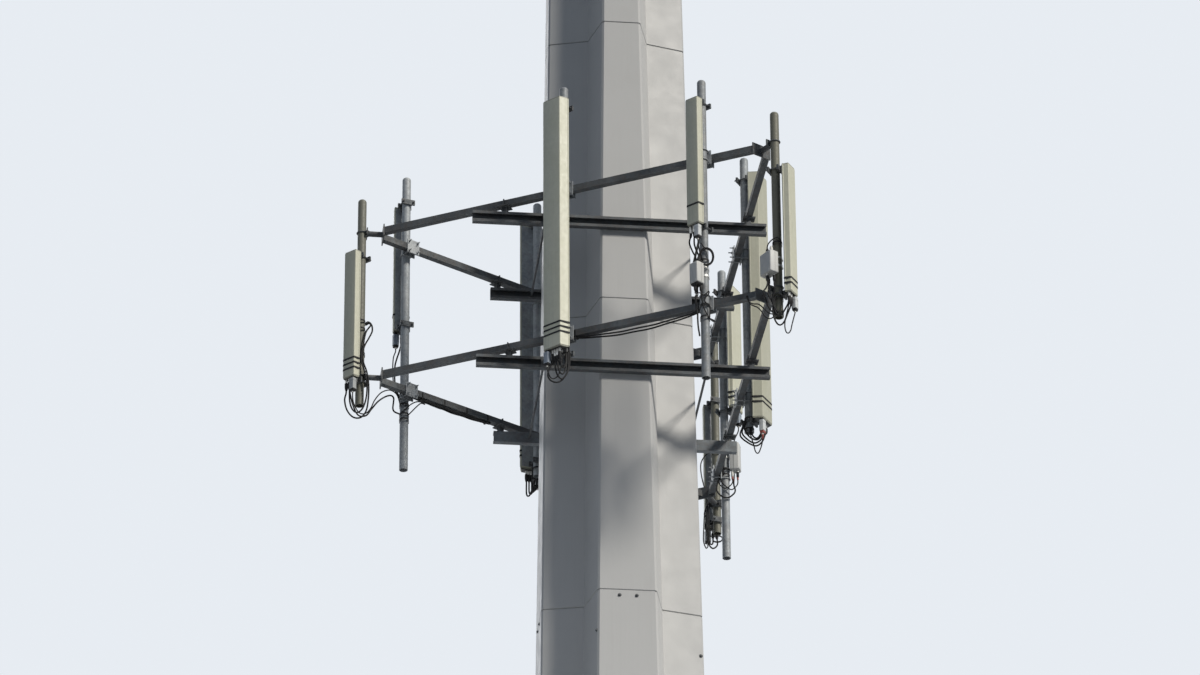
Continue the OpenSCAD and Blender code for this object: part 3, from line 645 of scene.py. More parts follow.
def tubeAlong(path, radius, sides, material):
    # A round section carried along a path: its frame is turned from each point to the next by
    # the least turn that takes one tangent to the other.
    tangent = np.gradient(path, axis=0)
    tangent /= np.linalg.norm(tangent, axis=1, keepdims=True)
    across = np.zeros_like(path)
    across[0] = np.cross(tangent[0], np.eye(3)[np.argmin(np.abs(tangent[0]))])
    for n in range(1, len(path)):
        carried = across[n - 1] - tangent[n] * (across[n - 1] @ tangent[n])
        across[n] = carried / np.linalg.norm(carried)
    across[0] /= np.linalg.norm(across[0])
    above = np.cross(tangent, across)
    a = np.linspace(0, 2 * np.pi, sides, endpoint=False)[None, :, None]
    r = np.broadcast_to(np.asarray(radius, float), (len(path),))[:, None, None]
    rows = path[:, None] + r * (np.cos(a) * across[:, None] + np.sin(a) * above[:, None])
    return closedRows(rows, material)


def turned(point, angle):
    # x' = x cos - y sin, y' = x sin + y cos, with the angle in degrees.
    c, s = math.cos(math.radians(angle)), math.sin(math.radians(angle))
    return np.array([point[0] * c - point[1] * s, point[0] * s + point[1] * c])


def movedShape(shape, place=(0, 0, 0), turn=0.0):
    # Turned about Z by so many degrees, then moved.
    x, y = turned(shape["points"][:, :2].T, turn)
    points = np.column_stack([x, y, shape["points"][:, 2]]) + np.asarray(place, float)
    return dict(shape, points=points)


def makeObject(name, shapes, sharpAngle=32.0):
    # Every shape's arrays end to end in one mesh at the origin.
    materialNames = list(dict.fromkeys(s["material"] for s in shapes))
    points = np.concatenate([s["points"] for s in shapes])
    offsets = np.cumsum([0] + [len(s["points"]) for s in shapes[:-1]])
    corners = np.concatenate([s["corners"] + o for s, o in zip(shapes, offsets)])
    sizes = np.concatenate([s["sizes"] for s in shapes])
    starts = np.concatenate([[0], np.cumsum(sizes)[:-1]])
    slots = np.concatenate([np.full(len(s["sizes"]), materialNames.index(s["material"]))
                            for s in shapes])
    mesh = bpy.data.meshes.new(name)
    mesh.vertices.add(len(points))
    mesh.vertices.foreach_set("co", points.astype(np.float32).ravel())
    mesh.loops.add(len(corners))
    mesh.loops.foreach_set("vertex_index", corners.astype(np.int32))
    mesh.polygons.add(len(sizes))
    mesh.polygons.foreach_set("loop_start", starts.astype(np.int32))
    mesh.polygons.foreach_set("material_index", slots.astype(np.int32))
    for key in materialNames:
        mesh.materials.append(materials[key])
    mesh.update(calc_edges=True)
    mesh.validate()
    mesh.shade_smooth()
    mesh.set_sharp_from_angle(angle=math.radians(sharpAngle))
    made = bpy.data.objects.new(name, mesh)
    bpy.context.scene.collection.objects.link(made)
    return made


def makePiece(name, shapes, replaces=(), sharpAngle=32.0):
    # The shapes as one piece on the only body; the nodes that it stands for are hidden.
    piece = makeObject(name, shapes, sharpAngle)
    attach(piece, "root")
    if replaces:
        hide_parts(*replaces)


def faceTurn(sector):
    # Which way a sector's face of the frame looks, in degrees.
    return 120.0 * (sector - 1) + tower["frameTurn"]


def pipePlace(sector, which):
    # Where a mount pipe stands at the upper tier, and which way its antenna faces: a point by a
    # corner or on the face's outer line, turned with its sector.
    local = [turned((tower["cornerPipes"][sector], 0.0), -60.0),
             (frameInradius + pipeOffset, 0.0),
             (frameInradius + pipeOffset, tower["endPipes"][sector])][which]
    spot = turned(local, faceTurn(sector))
    return (np.array([spot[0], spot[1], tower["upperTier"]]),
            faceTurn(sector) + tower["sectorTurns"][sector])


# Antennas and the tilt units under them

antennaSettings = {
    # widths before and behind, depth, length, the sockets' places across, the tilt unit's place
    "long": {"front": 0.175, "back": 0.246, "depth": 0.085, "length": 2.405,
             "sockets": (-0.022, 0.002, 0.026, 0.050), "tilt": -0.063},
    "short": {"front": 0.122, "back": 0.146, "depth": 0.060, "length": 1.220,
              "sockets": (-0.045, -0.010), "tilt": 0.035},
    "flat": {"front": 0.184, "back": 0.200, "depth": 0.050, "length": 1.220,
             "sockets": (-0.045, -0.010), "tilt": 0.035},
    "flangeDepth": 0.013,
    "flangeStep": 0.005,
    "bodyRadii": (0.005, 0.003, 0.0015, 0.009, 0.009, 0.0015, 0.003, 0.005),
    "wrapRadii": (0.003, 0.003, 0.011, 0.011, 0.003, 0.003),
    "lip": 0.0015,
    "capHeight": 0.012,
    "capInsets": (0.007, 0.0035, 0.0025),
    "bandHeight": 0.017,
    "bandProud": 0.0025,
    "bandPitch": 0.047,
    "bandEdge": 0.0008,
    "bandInset": 0.001,
    "trayMargin": 0.012,
    "trayProud": 0.0028,
    "trayEnd": 0.02,
    "hexagon": 0.0138,
    # steps of [height, inset] up a socket's nut
    "nutLevels": [(-0.0085, 0.0015), (-0.0075, 0), (-0.001, 0), (0.0, 0.001)],
    "barrelRadius": 0.0105,
    "threadDepth": 0.0006,
    "threadSpan": (-0.034, -0.010),
    "threadTurns": 7,
}
tiltSettings = {
    "width": 0.050,
    "depth": 0.044,
    "radius": 0.008,
    "collar": 0.014,
    "groove": 0.030,
    "case": 0.118,
    "cap": 0.138,
    "foot": 0.150,
    "inward": 0.019,
}
# sector, pipe, kind, finish, top above the upper tier, bands, height of the lowest band, and what
# the tilt unit's case and cap are made of
antennaPlaces = {
    "front_corner": (0, 0, "short", "radome", -0.236, 3, 0.075, "greyCase", "band"),
    # this radome is the lighter copy: painted light
    "front_long": (0, 1, "long", "paintedLightRadome", 0.782, 3, 0.126, "blueCase", "band"),
    "front_end": (0, 2, "short", "radome", 0.498, 1, 0.180, "unit_plastic", "band"),
    "right_corner": (1, 0, "short", "radome", -0.264, 2, 0.075, "unit_plastic", "band"),
    # this radome is the darker copy: painted shade
    "right_long": (1, 1, "long", "paintedShadeRadome", 0.751, 2, 0.145, "unit_plastic", "redTip"),
    "right_end": (1, 2, "flat", "radome", 0.434, 2, 0.085, "blueCase", "band"),
    "left_corner": (2, 0, "short", "radome", -0.350, 2, 0.100, "greyCase", "band"),
    "left_long": (2, 1, "long", "radome", 0.790, 2, 0.110, "greyCase", "band"),
    "left_end": (2, 2, "short", "radome", 0.484, 1, 0.150, "blueCase", "band"),
}


def antennaShapes(size, finish, bands, firstBand, s):
    # Local frame: X towards the front, Z up, Z = 0 at the bottom cap's underside. The section,
    # a flange with a trapezium before it, is carried up in steps of [height, inset].
    half, front, depth = size["back"] / 2, size["front"] / 2, size["depth"]
    rim, lip, cap, length = s["flangeDepth"], s["lip"], s["capHeight"], size["length"]
    step = half - s["flangeStep"]
    outer, middle, inner = s["capInsets"]
    body = roundedOutline(
        [(0, -half), (rim, -half), (rim + 0.001, -step), (depth, -front),
         (depth, front), (rim + 0.001, step), (rim, half), (0, half)], s["bodyRadii"], 6)
    shapes = [
        bevelledSolid(body, cap, length - cap, finish, lip),
        risingSolid(body, [(0.0, outer), (lip, middle), (cap, inner)], "capPlastic"),
        risingSolid(body, [(length - cap, inner), (length - 0.002, middle), (length, outer)],
                    "capPlastic"),
        risingSolid(inset(body, 0.010), [(-0.0012, 0.001), (0.001, 0)], "underside"),
    ]
    wrap = roundedOutline(
        [(0, -half), (rim, -half), (depth, -front), (depth, front), (rim, half), (0, half)],
        s["wrapRadii"], 6)
    for b in range(bands):
        low = firstBand + b * s["bandPitch"]
        high, edge, proud = low + s["bandHeight"], s["bandEdge"], -s["bandProud"]
        shapes.append(risingSolid(wrap, [(low, s["bandInset"]), (low + edge, proud),
                                         (high - edge, proud), (high, s["bandInset"])], "band"))
    # the aluminium tray that closes the back
    side, end = half - s["trayMargin"], s["trayEnd"]
    tray = roundedOutline([(-s["trayProud"], -side), (0.001, -side), (0.001, side),
                           (-s["trayProud"], side)], [0.0008] * 4, 2)
    shapes.append(risingSolid(tray, [(end, 0.0004), (end + 0.001, 0), (length - end - 0.001, 0),
                                     (length - end, 0.0004)], "galvanised_steel"))
    # each socket: a hexagon with rounded corners, and a barrel turned from a profile whose
    # radius steps in and out at each half turn of its thread
    a = np.arange(6) * math.pi / 3
    nut = roundedOutline(np.column_stack([np.cos(a), np.sin(a)]) * s["hexagon"], [0.001] * 6, 2)
    low, high = s["threadSpan"]
    ridges = np.arange(2 * s["threadTurns"] + 1)
    barrel = np.column_stack([s["barrelRadius"] + s["threadDepth"] * (ridges % 2),
                              low + (high - low) * ridges / ridges[-1]])
    for y in size["sockets"]:
        shapes += [movedShape(part, (depth / 2, y, 0.0)) for part in (
            risingSolid(nut, s["nutLevels"], "plated"),
            turnedSolid(np.vstack([(0.002, low), barrel]), 20, "plated"))]
    return shapes


def tiltShapes(caseMaterial, capMaterial, s):
    # A rounded rectangle carried up in steps of [height, inset], between a turned collar and
    # plug.
    case = boxOutline(s["depth"], s["width"], s["radius"])
    groove = s["collar"] + s["groove"]
    return [
        turnedSolid([(0.013, -s["collar"] - 0.001), (0.0165, -s["collar"]), (0.0165, -0.004),
                     (0.0150, -0.0005)], 20, "band"),
        risingSolid(case, [(-s["case"], 0.0015), (-s["case"] + 0.0015, 0), (-groove - 0.002, 0),
                           (-groove - 0.001, 0.0015), (-groove + 0.001, 0.0015),
                           (-groove + 0.002, 0), (-s["collar"] - 0.003, 0),
                           (-s["collar"], 0.004)], caseMaterial),
        risingSolid(inset(case, 0.003), [(-s["cap"], 0.005), (-s["cap"] + 0.004, 0.001),
                                         (-s["case"] + 0.001, 0)], capMaterial),
        turnedSolid([(0.006, -s["foot"]), (0.008, -s["foot"] + 0.001),
                     (0.008, -s["cap"] - 0.003), (0.0105, -s["cap"] - 0.002),
                     (0.0105, -s["cap"] + 0.002)], 16, "plated"),
    ]


tiltParts = []
for name, (sector, which, kind, finish, top, bands, firstBand, case, cap) in antennaPlaces.items():
    size = antennaSettings[kind]
    origin, aim = pipePlace(sector, which)
    back, foot = tower["pipeRadius"] + tower["antennaGap"], top - size["length"]
    shapes = antennaShapes(size, finish, bands, firstBand, antennaSettings)
    makePiece("panel_" + name,
              [movedShape(movedShape(s, (back, 0, foot)), origin, aim) for s in shapes],
              ("antenna_" + name,))
    spot = (back + size["depth"] - tiltSettings["inward"], size["tilt"], foot - 0.0003)
    tiltParts += [movedShape(movedShape(s, spot), origin, aim)
                  for s in tiltShapes(case, cap, tiltSettings)]
print("antennas made:", len(antennaPlaces))
makePiece("tiltUnits", tiltParts, ("tilt_units",))
print("tilt units made")


# Amplifiers: a cast tray and lid with a screwed rim, sockets below, held by two steel straps

amplifierSettings = {
    "back": 0.0485,
    "depth": 0.085,
    "seam": 0.036,
    "corner": 0.012,
    "rim": 0.003,
    "screwInset": 0.024,
    "straps": (0.02, 0.38),
    "strapHeight": 0.020,
    "strapThickness": 0.0034,
    "saddle": (0.012, 0.060),
    "housing": (0.013, 0.020),
    "strapClearance": 0.0004,
    "saddleInset": 0.0055,
    "housingReach": 0.009,
    # how far forward, and a share of the width
    "sockets": ((0.020, -0.24), (0.020, 0.24), (0.062, 0.0)),
    "boots": ((0.030, -0.22), (0.030, 0.12)),
    # profiles of [radius, height] pairs
    "screw": [(0.0030, -0.001), (0.0042, 0.0), (0.0042, 0.0016), (0.0030, 0.0024)],
    "socket": [(0.008, -0.017), (0.0105, -0.016), (0.0105, -0.001), (0.0125, 0.0),
               (0.0125, 0.005)],
    "sleeve": [(0.007, -0.066), (0.010, -0.062), (0.0125, -0.050), (0.0125, -0.014),
               (0.0115, -0.012)],
    "redEnd": [(0.005, -0.088), (0.008, -0.085), (0.009, -0.066), (0.008, -0.060)],
    "topBoot": [(0.012, -0.002), (0.0135, 0.004), (0.0135, 0.045), (0.009, 0.062),
                (0.007, 0.064)],
}
# sector, pipe, turn, drop below the upper tier, width, height, what the sleeves below and the
# boots above are made of, whether the sleeves end in red, whether a rubber plate lies below
amplifierPlaces = {
    "front_end": (0, 2, -8.0, 1.165, 0.100, 0.200,
                  ("band", "band", "band"), ("band", "band"), False, True),
    "right_corner": (1, 0, -116.0, 1.195, 0.150, 0.205,
                     ("band", "band", "band"), ("band", "paleBoot"), False, False),
    "right_end": (1, 2, 14.0, 1.232, 0.100, 0.265,
                  ("paleBoot", "paleBoot", "band"), (), True, False),
}


def amplifierShapes(w, h, sleeves, boots, redEnds, plate, s):
    # A rounded rectangle carried forward in steps of [distance, inset], with turned fittings
    # set at shares of its width and height.
    back, front, rim = s["back"], s["back"] + s["depth"], s["rim"]
    seam = back + s["seam"]
    shell = boxOutline(w, h, s["corner"])
    shapes = [laidForward(part) for part in (
        risingSolid(shell, [(back, 0.010), (back + 0.002, 0.005), (back + 0.006, 0.002),
                            (seam, 0.001)], "unit_paint"),
        risingSolid(inset(shell, 0.003), [(seam - 0.001, 0), (seam + 0.003, 0)], "band"),
        risingSolid(shell, [(seam + 0.002, 0.001), (seam + 0.003, 0), (front - 0.012, rim),
                            (front - 0.005, rim + 0.002), (front - 0.001, rim + 0.006),
                            (front, rim + 0.010)], "unit_paint"))]
    screw = laidForward(turnedSolid(s["screw"], 12, "plated"))
    y, z = w / 2 - s["screwInset"], h / 2 - s["screwInset"]
    shapes += [movedShape(screw, (front, side * y, level * z))
               for side in (-1, 1) for level in (-1, 1)]
    for (x, share), material in zip(s["sockets"], sleeves):
        fittings = [turnedSolid(s["socket"], 20, "plated"), turnedSolid(s["sleeve"], 20, material)]
        if redEnds:
            fittings.append(turnedSolid(s["redEnd"], 16, "redTip"))
        shapes += [movedShape(part, (back + x, share * w, -h / 2)) for part in fittings]
    for (x, share), material in zip(s["boots"], boots):
        shapes.append(movedShape(turnedSolid(s["topBoot"], 20, material),
                                 (back + x, share * w, h / 2)))
    if plate:
        shapes.append(movedShape(risingSolid(
            boxOutline(s["depth"] - 0.012, w - 0.016, 0.014),
            [(-0.014, 0.012), (-0.010, 0.005), (-0.003, 0.001), (0.004, 0.0)], "band"),
            (back + s["depth"] / 2, 0, -h / 2)))
    # straps with their saddles and screw housings
    half = s["strapHeight"] / 2
    for z in (share * h for share in s["straps"]):
        shapes += [
            bandSolid(roundOutline(tower["pipeRadius"] + s["strapClearance"]),
                      s["strapThickness"], z - half, z + half, "plated"),
            movedShape(bevelledSolid(boxOutline(*s["saddle"], 0.003), -half, half, "plated"),
                       (back - s["saddleInset"], 0, z)),
            movedShape(bevelledSolid(boxOutline(*s["housing"], 0.003), -half * 0.8, half * 0.8,
                                     "plated"),
                       (-tower["pipeRadius"] - s["housingReach"], 0, z)),
        ]
    return shapes


for name, (sector, which, turn, drop, w, h, *fittings) in amplifierPlaces.items():
    origin, aim = pipePlace(sector, which)
    makePiece("castBox_" + name,
              [movedShape(s, origin - (0, 0, drop), aim + turn)
               for s in amplifierShapes(w, h, *fittings, amplifierSettings)],
              ("amplifier_" + name,))
print("amplifiers made:", len(amplifierPlaces))


# Jumpers and feeders. Each cable is held at both ends: it leaves a socket and ends under a tie.

cableSettings = {
    "jumperRadius": 0.0070,
    "thinRadius": 0.0052,
    "feederSag": 0.06,
    "feederWave": 0.004,
    "tieHeight": 0.016,
    "tieThickness": 0.0024,
    "tieBulge": 0.021,
    "tieClearance": 0.0006,
    "rearHold": 0.045,
    "rearReach": 0.092,
    "rearDrop": 0.19,
    "rearStep": 0.022,
    # a tie round a tube: how much wider and higher than it, then its corners, its thickness and
    # half its height
    "tubeTie": (0.002, 0.020, 0.010, 0.0022, 0.006),
    "tubeClearance": 0.0003,
}
# where the photograph was taken from and its focal length in pixels, with the digits that a whole
# millimetre needs from 50 m away
photoSight = {
    "position": (-4.8145783, -43.9330544, -16.6004896),
    "heading": 83.9272017,
    "pitch": 29.322735,
    "roll": -0.4,
    "focalPixels": 6000.0,
    "middle": (600.0, 337.5),
}
# the coil by the front end pipe: its middle and its reach in pixels, where it starts in degrees,
# its turns, how far and how fast its radius wavers, and how near it lies, weaves and rises
coilSettings = {
    "middle": (706.2, 256.6),
    "reach": (6.9, 8.3),
    "start": -100.0,
    "turns": 2.6,
    "points": 26,
    "waver": 0.09,
    "waverRate": 0.37,
    "near": 0.052,
    "weave": 0.006,
    "rise": 0.0006,
}


def coilTurns(s):
    # The coil's points, each [pixel across, pixel down, how near].
    points = []
    for n, angle in enumerate(np.linspace(s["start"], s["start"] + 360 * s["turns"],
                                          s["points"])):
        a = math.radians(angle)
        share = 1 - s["waver"] * math.sin(math.radians(angle * s["waverRate"]))
        points.append((s["middle"][0] + s["reach"][0] * share * math.cos(a),
                       s["middle"][1] + s["reach"][1] * share * math.sin(a),
                       s["near"] + s["weave"] * math.sin(a / 2) + n * s["rise"]))
    return points


# A route's knots, each in one of seven forms. Read from the photograph: (pixel across,
# pixel down, metres that it lies from its pipe's axis towards the photograph's side), with the
# sector and number of another pipe where it leads over to that one. ("socket", which, metres
# below the antenna), and ("unit", metres below it) for a tilt unit's plug. ("boxSocket", which,
# up) and ("boxBoot", which, up) for the box on the pipe, and ("mm", right, near, up) for an end
# that is given, all in millimetres from the pipe's axis at the upper tier.

# which boot, thin or not, knots
cableRoutes = {
    (0, 0): [
        ("boot", False, [("socket", 0, 0.034), ("socket", 0, 0.12), (344.6, 400, 0.06),
            (347, 410, 0.05), (353, 417, 0.05), (360.5, 417.5, 0.05), (366, 411, 0.045),
            (368.3, 399, 0.04), (368.6, 385, 0.055), (366.8, 372, 0.07), (363.3, 362, 0.06),
            (362.6, 354, 0.05), (364.8, 345.5, 0.045), (369, 338, 0.03), (372.2, 331, 0.02),
            (371.6, 324.8, 0.01), (368.2, 322, 0.0), (365.4, 323.5, -0.02)]),
        ("boot", False, [("socket", 1, 0.034), ("socket", 1, 0.12), (349.8, 402, 0.07),
            (352.5, 409.5, 0.065), (357.5, 412.5, 0.06), (363, 407.5, 0.06), (366.3, 397, 0.055),
            (366.9, 384, 0.065), (364.6, 371, 0.075), (361.4, 361, 0.06), (361.3, 353, 0.055),
            (363.4, 346, 0.05), (364.2, 339.5, 0.048), (366, 332, 0.04), (369, 327.6, 0.03),
            ("mm", 88, 22, -905), ("mm", 72, 8, -880), ("mm", 42, -14, -885)]),
        ("", True, [("unit", 0.15), ("unit", 0.19), (354, 404, 0.06), (359, 412.5, 0.05),
            (365.5, 413.5, 0.04), (370.8, 408, 0.03), (374.8, 400, 0.01), (381, 392.8, -0.02),
            (388.6, 390, 0.03, 2, 2), (394, 391.8, 0.02, 2, 2), (397.5, 396, 0.0, 2, 2),
            (400, 404, 0.044, 2, 2)]),
        ("boot", False, [("socket", 1, 0.034), ("socket", 1, 0.1), (352.6, 404, 0.08),
            (358, 415, 0.07), (366, 415.5, 0.05), (371.5, 409, 0.03), (377.8, 401.7, 0.0),
            (384.7, 397, 0.02, 2, 2), (390.5, 395.4, 0.05, 2, 2), (393.6, 397.8, 0.05, 2, 2),
            (393.3, 403.7, 0.05, 2, 2), (392.9, 408.3, 0.05, 2, 2), (394.3, 411.6, 0.05, 2, 2),
            (399.5, 414, 0.048, 2, 2)]),
    ],
    (2, 2): [
        ("", True, [("unit", 0.15), ("unit", 0.175), (393.6, 357, -0.1), (392.8, 364, -0.09),
            (392.8, 374, -0.08), (393.8, 386, -0.06), (396.6, 394, -0.045), (401, 400, -0.05)]),
        ("silver", False, [("socket", 1, 0.034), ("socket", 1, 0.1), (399.2, 352, -0.09),
            (396.8, 359, -0.08), (395, 366, -0.075), (394.6, 376, -0.07), (395.6, 388, -0.06),
            (399.5, 397, -0.048)]),
        ("boot", False, [("socket", 0, 0.034), ("socket", 0, 0.1), (404.6, 354, -0.1),
            (403.8, 364, -0.09), (403, 378, -0.08), (403.6, 392, -0.07), (405.4, 402, -0.05)]),
        ("", True, [(424, 403.2, 0.035), (420, 401.8, 0.03), (415.6, 402, 0.03),
            (410.6, 404.6, 0.045), (406, 408.6, 0.05), (401.6, 411.8, 0.05)]),
        ("", True, [(425, 404.4, 0.035), (421, 403.4, 0.03), (416.7, 406.6, 0.035),
            (412, 411.2, 0.045), (407.6, 415.6, 0.05)]),
    ],
    (0, 1): [
        ("boot", False, [("socket", 0, 0.034), ("socket", 0, 0.1), (550.6, 366, 0.09),
            (548.4, 372, 0.09), (548, 376.5, 0.09), (550.4, 380, 0.08), (554.2, 382, 0.08),
            (557.8, 382.2, 0.075), (561.6, 380.3, 0.07), (565.2, 376, 0.06), (568.2, 370.5, 0.05),
            (569.6, 363, 0.045), (569.6, 355, 0.045), (568.6, 347, 0.045)]),
        ("silver", False, [("socket", 1, 0.034), ("socket", 1, 0.1), (555.2, 365, 0.11),
            (555.9, 371, 0.1), (558.4, 376.4, 0.09), (561.6, 378.8, 0.08), (565.2, 376.2, 0.07),
            (567.6, 370.4, 0.06), (568.4, 362, 0.055), (568.2, 352, 0.055)]),
        ("silver", False, [("socket", 2, 0.034), ("socket", 2, 0.1), (557.8, 365, 0.12),
            (559.4, 371, 0.11), (562, 374, 0.1), (565, 371, 0.08), (566.6, 363, 0.06),
            (566.8, 353, 0.06)]),
        ("boot", False, [("socket", 3, 0.034), ("socket", 3, 0.09), (560.6, 362, 0.12),
            (562.2, 367, 0.11), (564.6, 366.8, 0.09), (566, 361, 0.07), (565.8, 352, 0.06)]),
        ("", True, [("unit", 0.15), ("unit", 0.175), (548.4, 372.4, 0.1), (550.6, 377.5, 0.09),
            (554.5, 378.5, 0.085), (558.6, 374.4, 0.075), (561.2, 366, 0.065),
            (562.4, 356, 0.055)]),
    ],
    (0, 2): [
        ("silver", False, [("socket", 0, 0.034), ("socket", 0, 0.085), (689.4, 243, 0.07),
            ("mm", -96, 60, -950), ("mm", -74, 42, -985), ("boxBoot", 0, -1008)]),
        ("silver", False, [("socket", 1, 0.034), ("socket", 1, 0.085), (694.4, 244, 0.1),
            ("mm", -62, 72, -955), ("mm", -48, 64, -985), ("boxBoot", 1, -1008)]),
        ("", True, [("unit", 0.15), ("unit", 0.17), (698.6, 246, 0.09), (699.6, 251, 0.08),
            ("mm", -22, 50, -1000), ("mm", -14, 46, -1030)]),
        ("", True, [(701, 243, 0.05)] + coilTurns(coilSettings)
            + [(704, 270, 0.055), (703, 276, 0.05)]),
        ("silver", False, [("boxSocket", 0, -1326), ("mm", -66, 32, -1352), ("mm", -76, 60, -1385),
            (696.2, 307, 0.05), (697.6, 313, 0.045), (697.8, 319, 0.04), (698.4, 327, 0.03),
            (699.8, 336, 0.01)]),
        ("", True, [("boxSocket", 2, -1326), ("mm", -78, 76, -1354), (700.6, 293, 0.11),
            (702, 299, 0.09), (703.4, 306, 0.07), (706, 312, 0.05), (708.6, 316.6, 0.03),
            (712.6, 321, 0.02), ("mm", 82, -4, -1575), ("mm", 72, -28, -1552),
            ("mm", 40, -26, -1535)]),
        ("", True, [("boxSocket", 1, -1326), ("mm", -30, 66, -1348), ("mm", -8, 68, -1366),
            (709.2, 291, 0.06), (708, 295, 0.055), (704.6, 298, 0.06), (705.4, 302, 0.06),
            (709.2, 305, 0.05), ("mm", 40, 44, -1488), ("mm", 36, 42, -1560)]),
    ],
    (1, 0): [
        ("boot", True, [("socket", 0, 0.034), ("socket", 0, 0.09), (785.8, 317, 0.05),
            (784.8, 325, 0.05), (785.8, 331, 0.05), (788, 333.2, 0.05), (790.6, 330.6, 0.045),
            (792.2, 324, 0.04), ("unit", 0.152)]),
        ("boot", False, [("socket", 1, 0.034), ("socket", 1, 0.09), (787.4, 314, 0.05),
            (784, 322, 0.05), (780, 325, 0.05), (776.4, 322.4, 0.05), (773.6, 315.6, 0.05),
            ("mm", -50, 48, -1600), ("mm", -36, 42, -1530), ("mm", -28, 40, -1490)]),
        ("silver", False, [("socket", 0, 0.034), ("socket", 0, 0.08), (783.6, 311.6, 0.06),
            (779.6, 315.6, 0.055), (775.6, 312, 0.055), ("mm", -44, 52, -1569),
            ("mm", -32, 46, -1510), ("mm", -20, 42, -1485)]),
        ("", True, [("mm", -262, -62, -1424), ("mm", -240, -40, -1492), ("mm", -206, 0, -1535),
            (758.6, 304.2, 0.03), (763.4, 308, 0.045), (767.6, 312, 0.05), ("mm", -61, 48, -1658),
            ("mm", -34, 42, -1645)]),
        ("", True, [("mm", -250, -62, -1424), ("mm", -232, -40, -1510), ("mm", -207, 5, -1555),
            (757.6, 307.4, 0.03), (761.4, 311.2, 0.045), (764.6, 316, 0.05), ("mm", -84, 50, -1702),
            ("mm", -52, 46, -1690), ("mm", -30, 42, -1650)]),
        ("", True, [("boxBoot", 0, -1036), ("boxBoot", 0, -1010), ("mm", -72, 30, -984),
            ("mm", -40, 50, -958), ("mm", -6, 50, -940), ("mm", 24, 48, -952),
            ("mm", 32, 44, -985)]),
        ("", False, [("boxSocket", 2, -1358), ("mm", -90, 66, -1390), ("mm", -104, 90, -1440),
            (763.2, 292, 0.11), (765.4, 298, 0.08), (767.6, 305, 0.06), ("mm", -66, 52, -1628),
            ("mm", -36, 44, -1645)]),
        ("", False, [("boxSocket", 0, -1358), ("mm", -78, 14, -1392), ("mm", -84, 50, -1450),
            (768.4, 295, 0.1), (771.6, 301, 0.07), (774, 308, 0.05), (775.4, 315, 0.05)]),
        ("", False, [("boxSocket", 1, -1358), ("mm", -34, 72, -1392), (774.6, 287, 0.11),
            (773.6, 294, 0.09), (772, 300, 0.08), (773.8, 306.4, 0.06), (777.4, 311.6, 0.05),
            (778.4, 317, 0.045)]),
    ],
    (1, 1): [
        ("boot", False, [("socket", 3, 0.034), ("socket", 3, 0.07), (765, 435, 0.05),
            (762, 442, 0.05), (756, 445.8, 0.05), (747.6, 442.4, 0.06), (740.4, 435.6, 0.05),
            ("mm", -58, 48, -1690), ("mm", -36, 42, -1620), ("mm", -26, 40, -1592)]),
        ("boot", False, [("socket", 2, 0.034), ("socket", 2, 0.07), (763.4, 435, 0.06),
            (760, 440.6, 0.06), (754.4, 443, 0.06), (747.8, 439.6, 0.07), ("mm", -62, 50, -1747),
            ("mm", -44, 46, -1670), ("mm", -24, 44, -1592)]),
        ("silver", False, [("socket", 1, 0.034), ("socket", 1, 0.07), (762.2, 434, 0.07),
            (758, 439.4, 0.07), (752, 438.6, 0.07), (747.4, 434.4, 0.06), (744.4, 428, 0.045),
            ("mm", -26, 42, -1640)]),
        ("boot", False, [("socket", 0, 0.034), ("socket", 0, 0.07), (760.6, 434, 0.08),
            (757.2, 438.2, 0.07), (753, 436, 0.06), ("mm", 9, 44, -1705)]),
        ("red", True, [("unit", 0.15), ("unit", 0.165), (762.2, 443, 0.07), (760, 450, 0.07),
            (757.8, 453.4, 0.07), (755.4, 451.2, 0.065), (754, 445.6, 0.06), ("mm", 20, 50, -1814),
            ("mm", 8, 46, -1756), ("mm", 2, 43, -1695)]),
    ],
    (1, 2): [
        ("fitting", False, [("socket", 0, 0.034), ("socket", 0, 0.08), (733.4, 421, 0.04),
            (731.6, 430, 0.05), (728, 440, 0.055), (723.6, 452, 0.055), ("mm", -36, 52, -1307),
            ("mm", -36, 42, -1408)]),
        ("boot", False, [("socket", 1, 0.034), ("socket", 1, 0.08), (735, 424, 0.05),
            (733.4, 432, 0.06), (729.6, 441, 0.065), (725.4, 453, 0.06), ("mm", -14, 52, -1329),
            ("mm", -16, 44, -1410)]),
        ("", True, [("unit", 0.15), ("unit", 0.165), (738, 432, 0.03), ("mm", 90, 38, -1050),
            ("mm", 78, 36, -1100)]),
        ("", True, [("boxSocket", 0, -1448), ("mm", 60, 40, -1486), (728.6, 487, 0.055),
            (724, 488, 0.055), ("mm", -54, 50, -1496), ("mm", -52, 46, -1440),
            ("mm", -36, 42, -1400)]),
        ("", False, [("boxSocket", 1, -1448), ("mm", 74, -4, -1490), ("mm", 84, 20, -1548),
            (733.6, 494, 0.045), (728, 497.6, 0.05), (721.4, 496, 0.055), ("mm", -76, 46, -1561),
            ("mm", -70, 46, -1500), ("mm", -48, 44, -1440), ("mm", -34, 42, -1402)]),
        ("", True, [("boxSocket", 2, -1448), ("mm", 107, 27, -1480), (736.4, 486, 0.035),
            (731.6, 489.6, 0.05), (726, 486.4, 0.055), ("mm", -36, 50, -1473),
            ("mm", -34, 44, -1408)]),
    ],
    (2, 0): [
        ("", True, [("mm", -32, 40, -884), ("mm", -48, 44, -892), (705.6, 455, 0.04),
            (701.2, 462.6, 0.03), (700.8, 471, 0.03), (702.6, 481, 0.03), (705.4, 492, 0.03),
            (706.8, 505, 0.03), ("mm", -96, 32, -1526), ("mm", -104, 32, -1610),
            ("mm", -84, 38, -1690), ("mm", -36, 42, -1716)]),
        ("boot", False, [("socket", 0, 0.034), ("socket", 0, 0.06), (717.4, 545, -0.03),
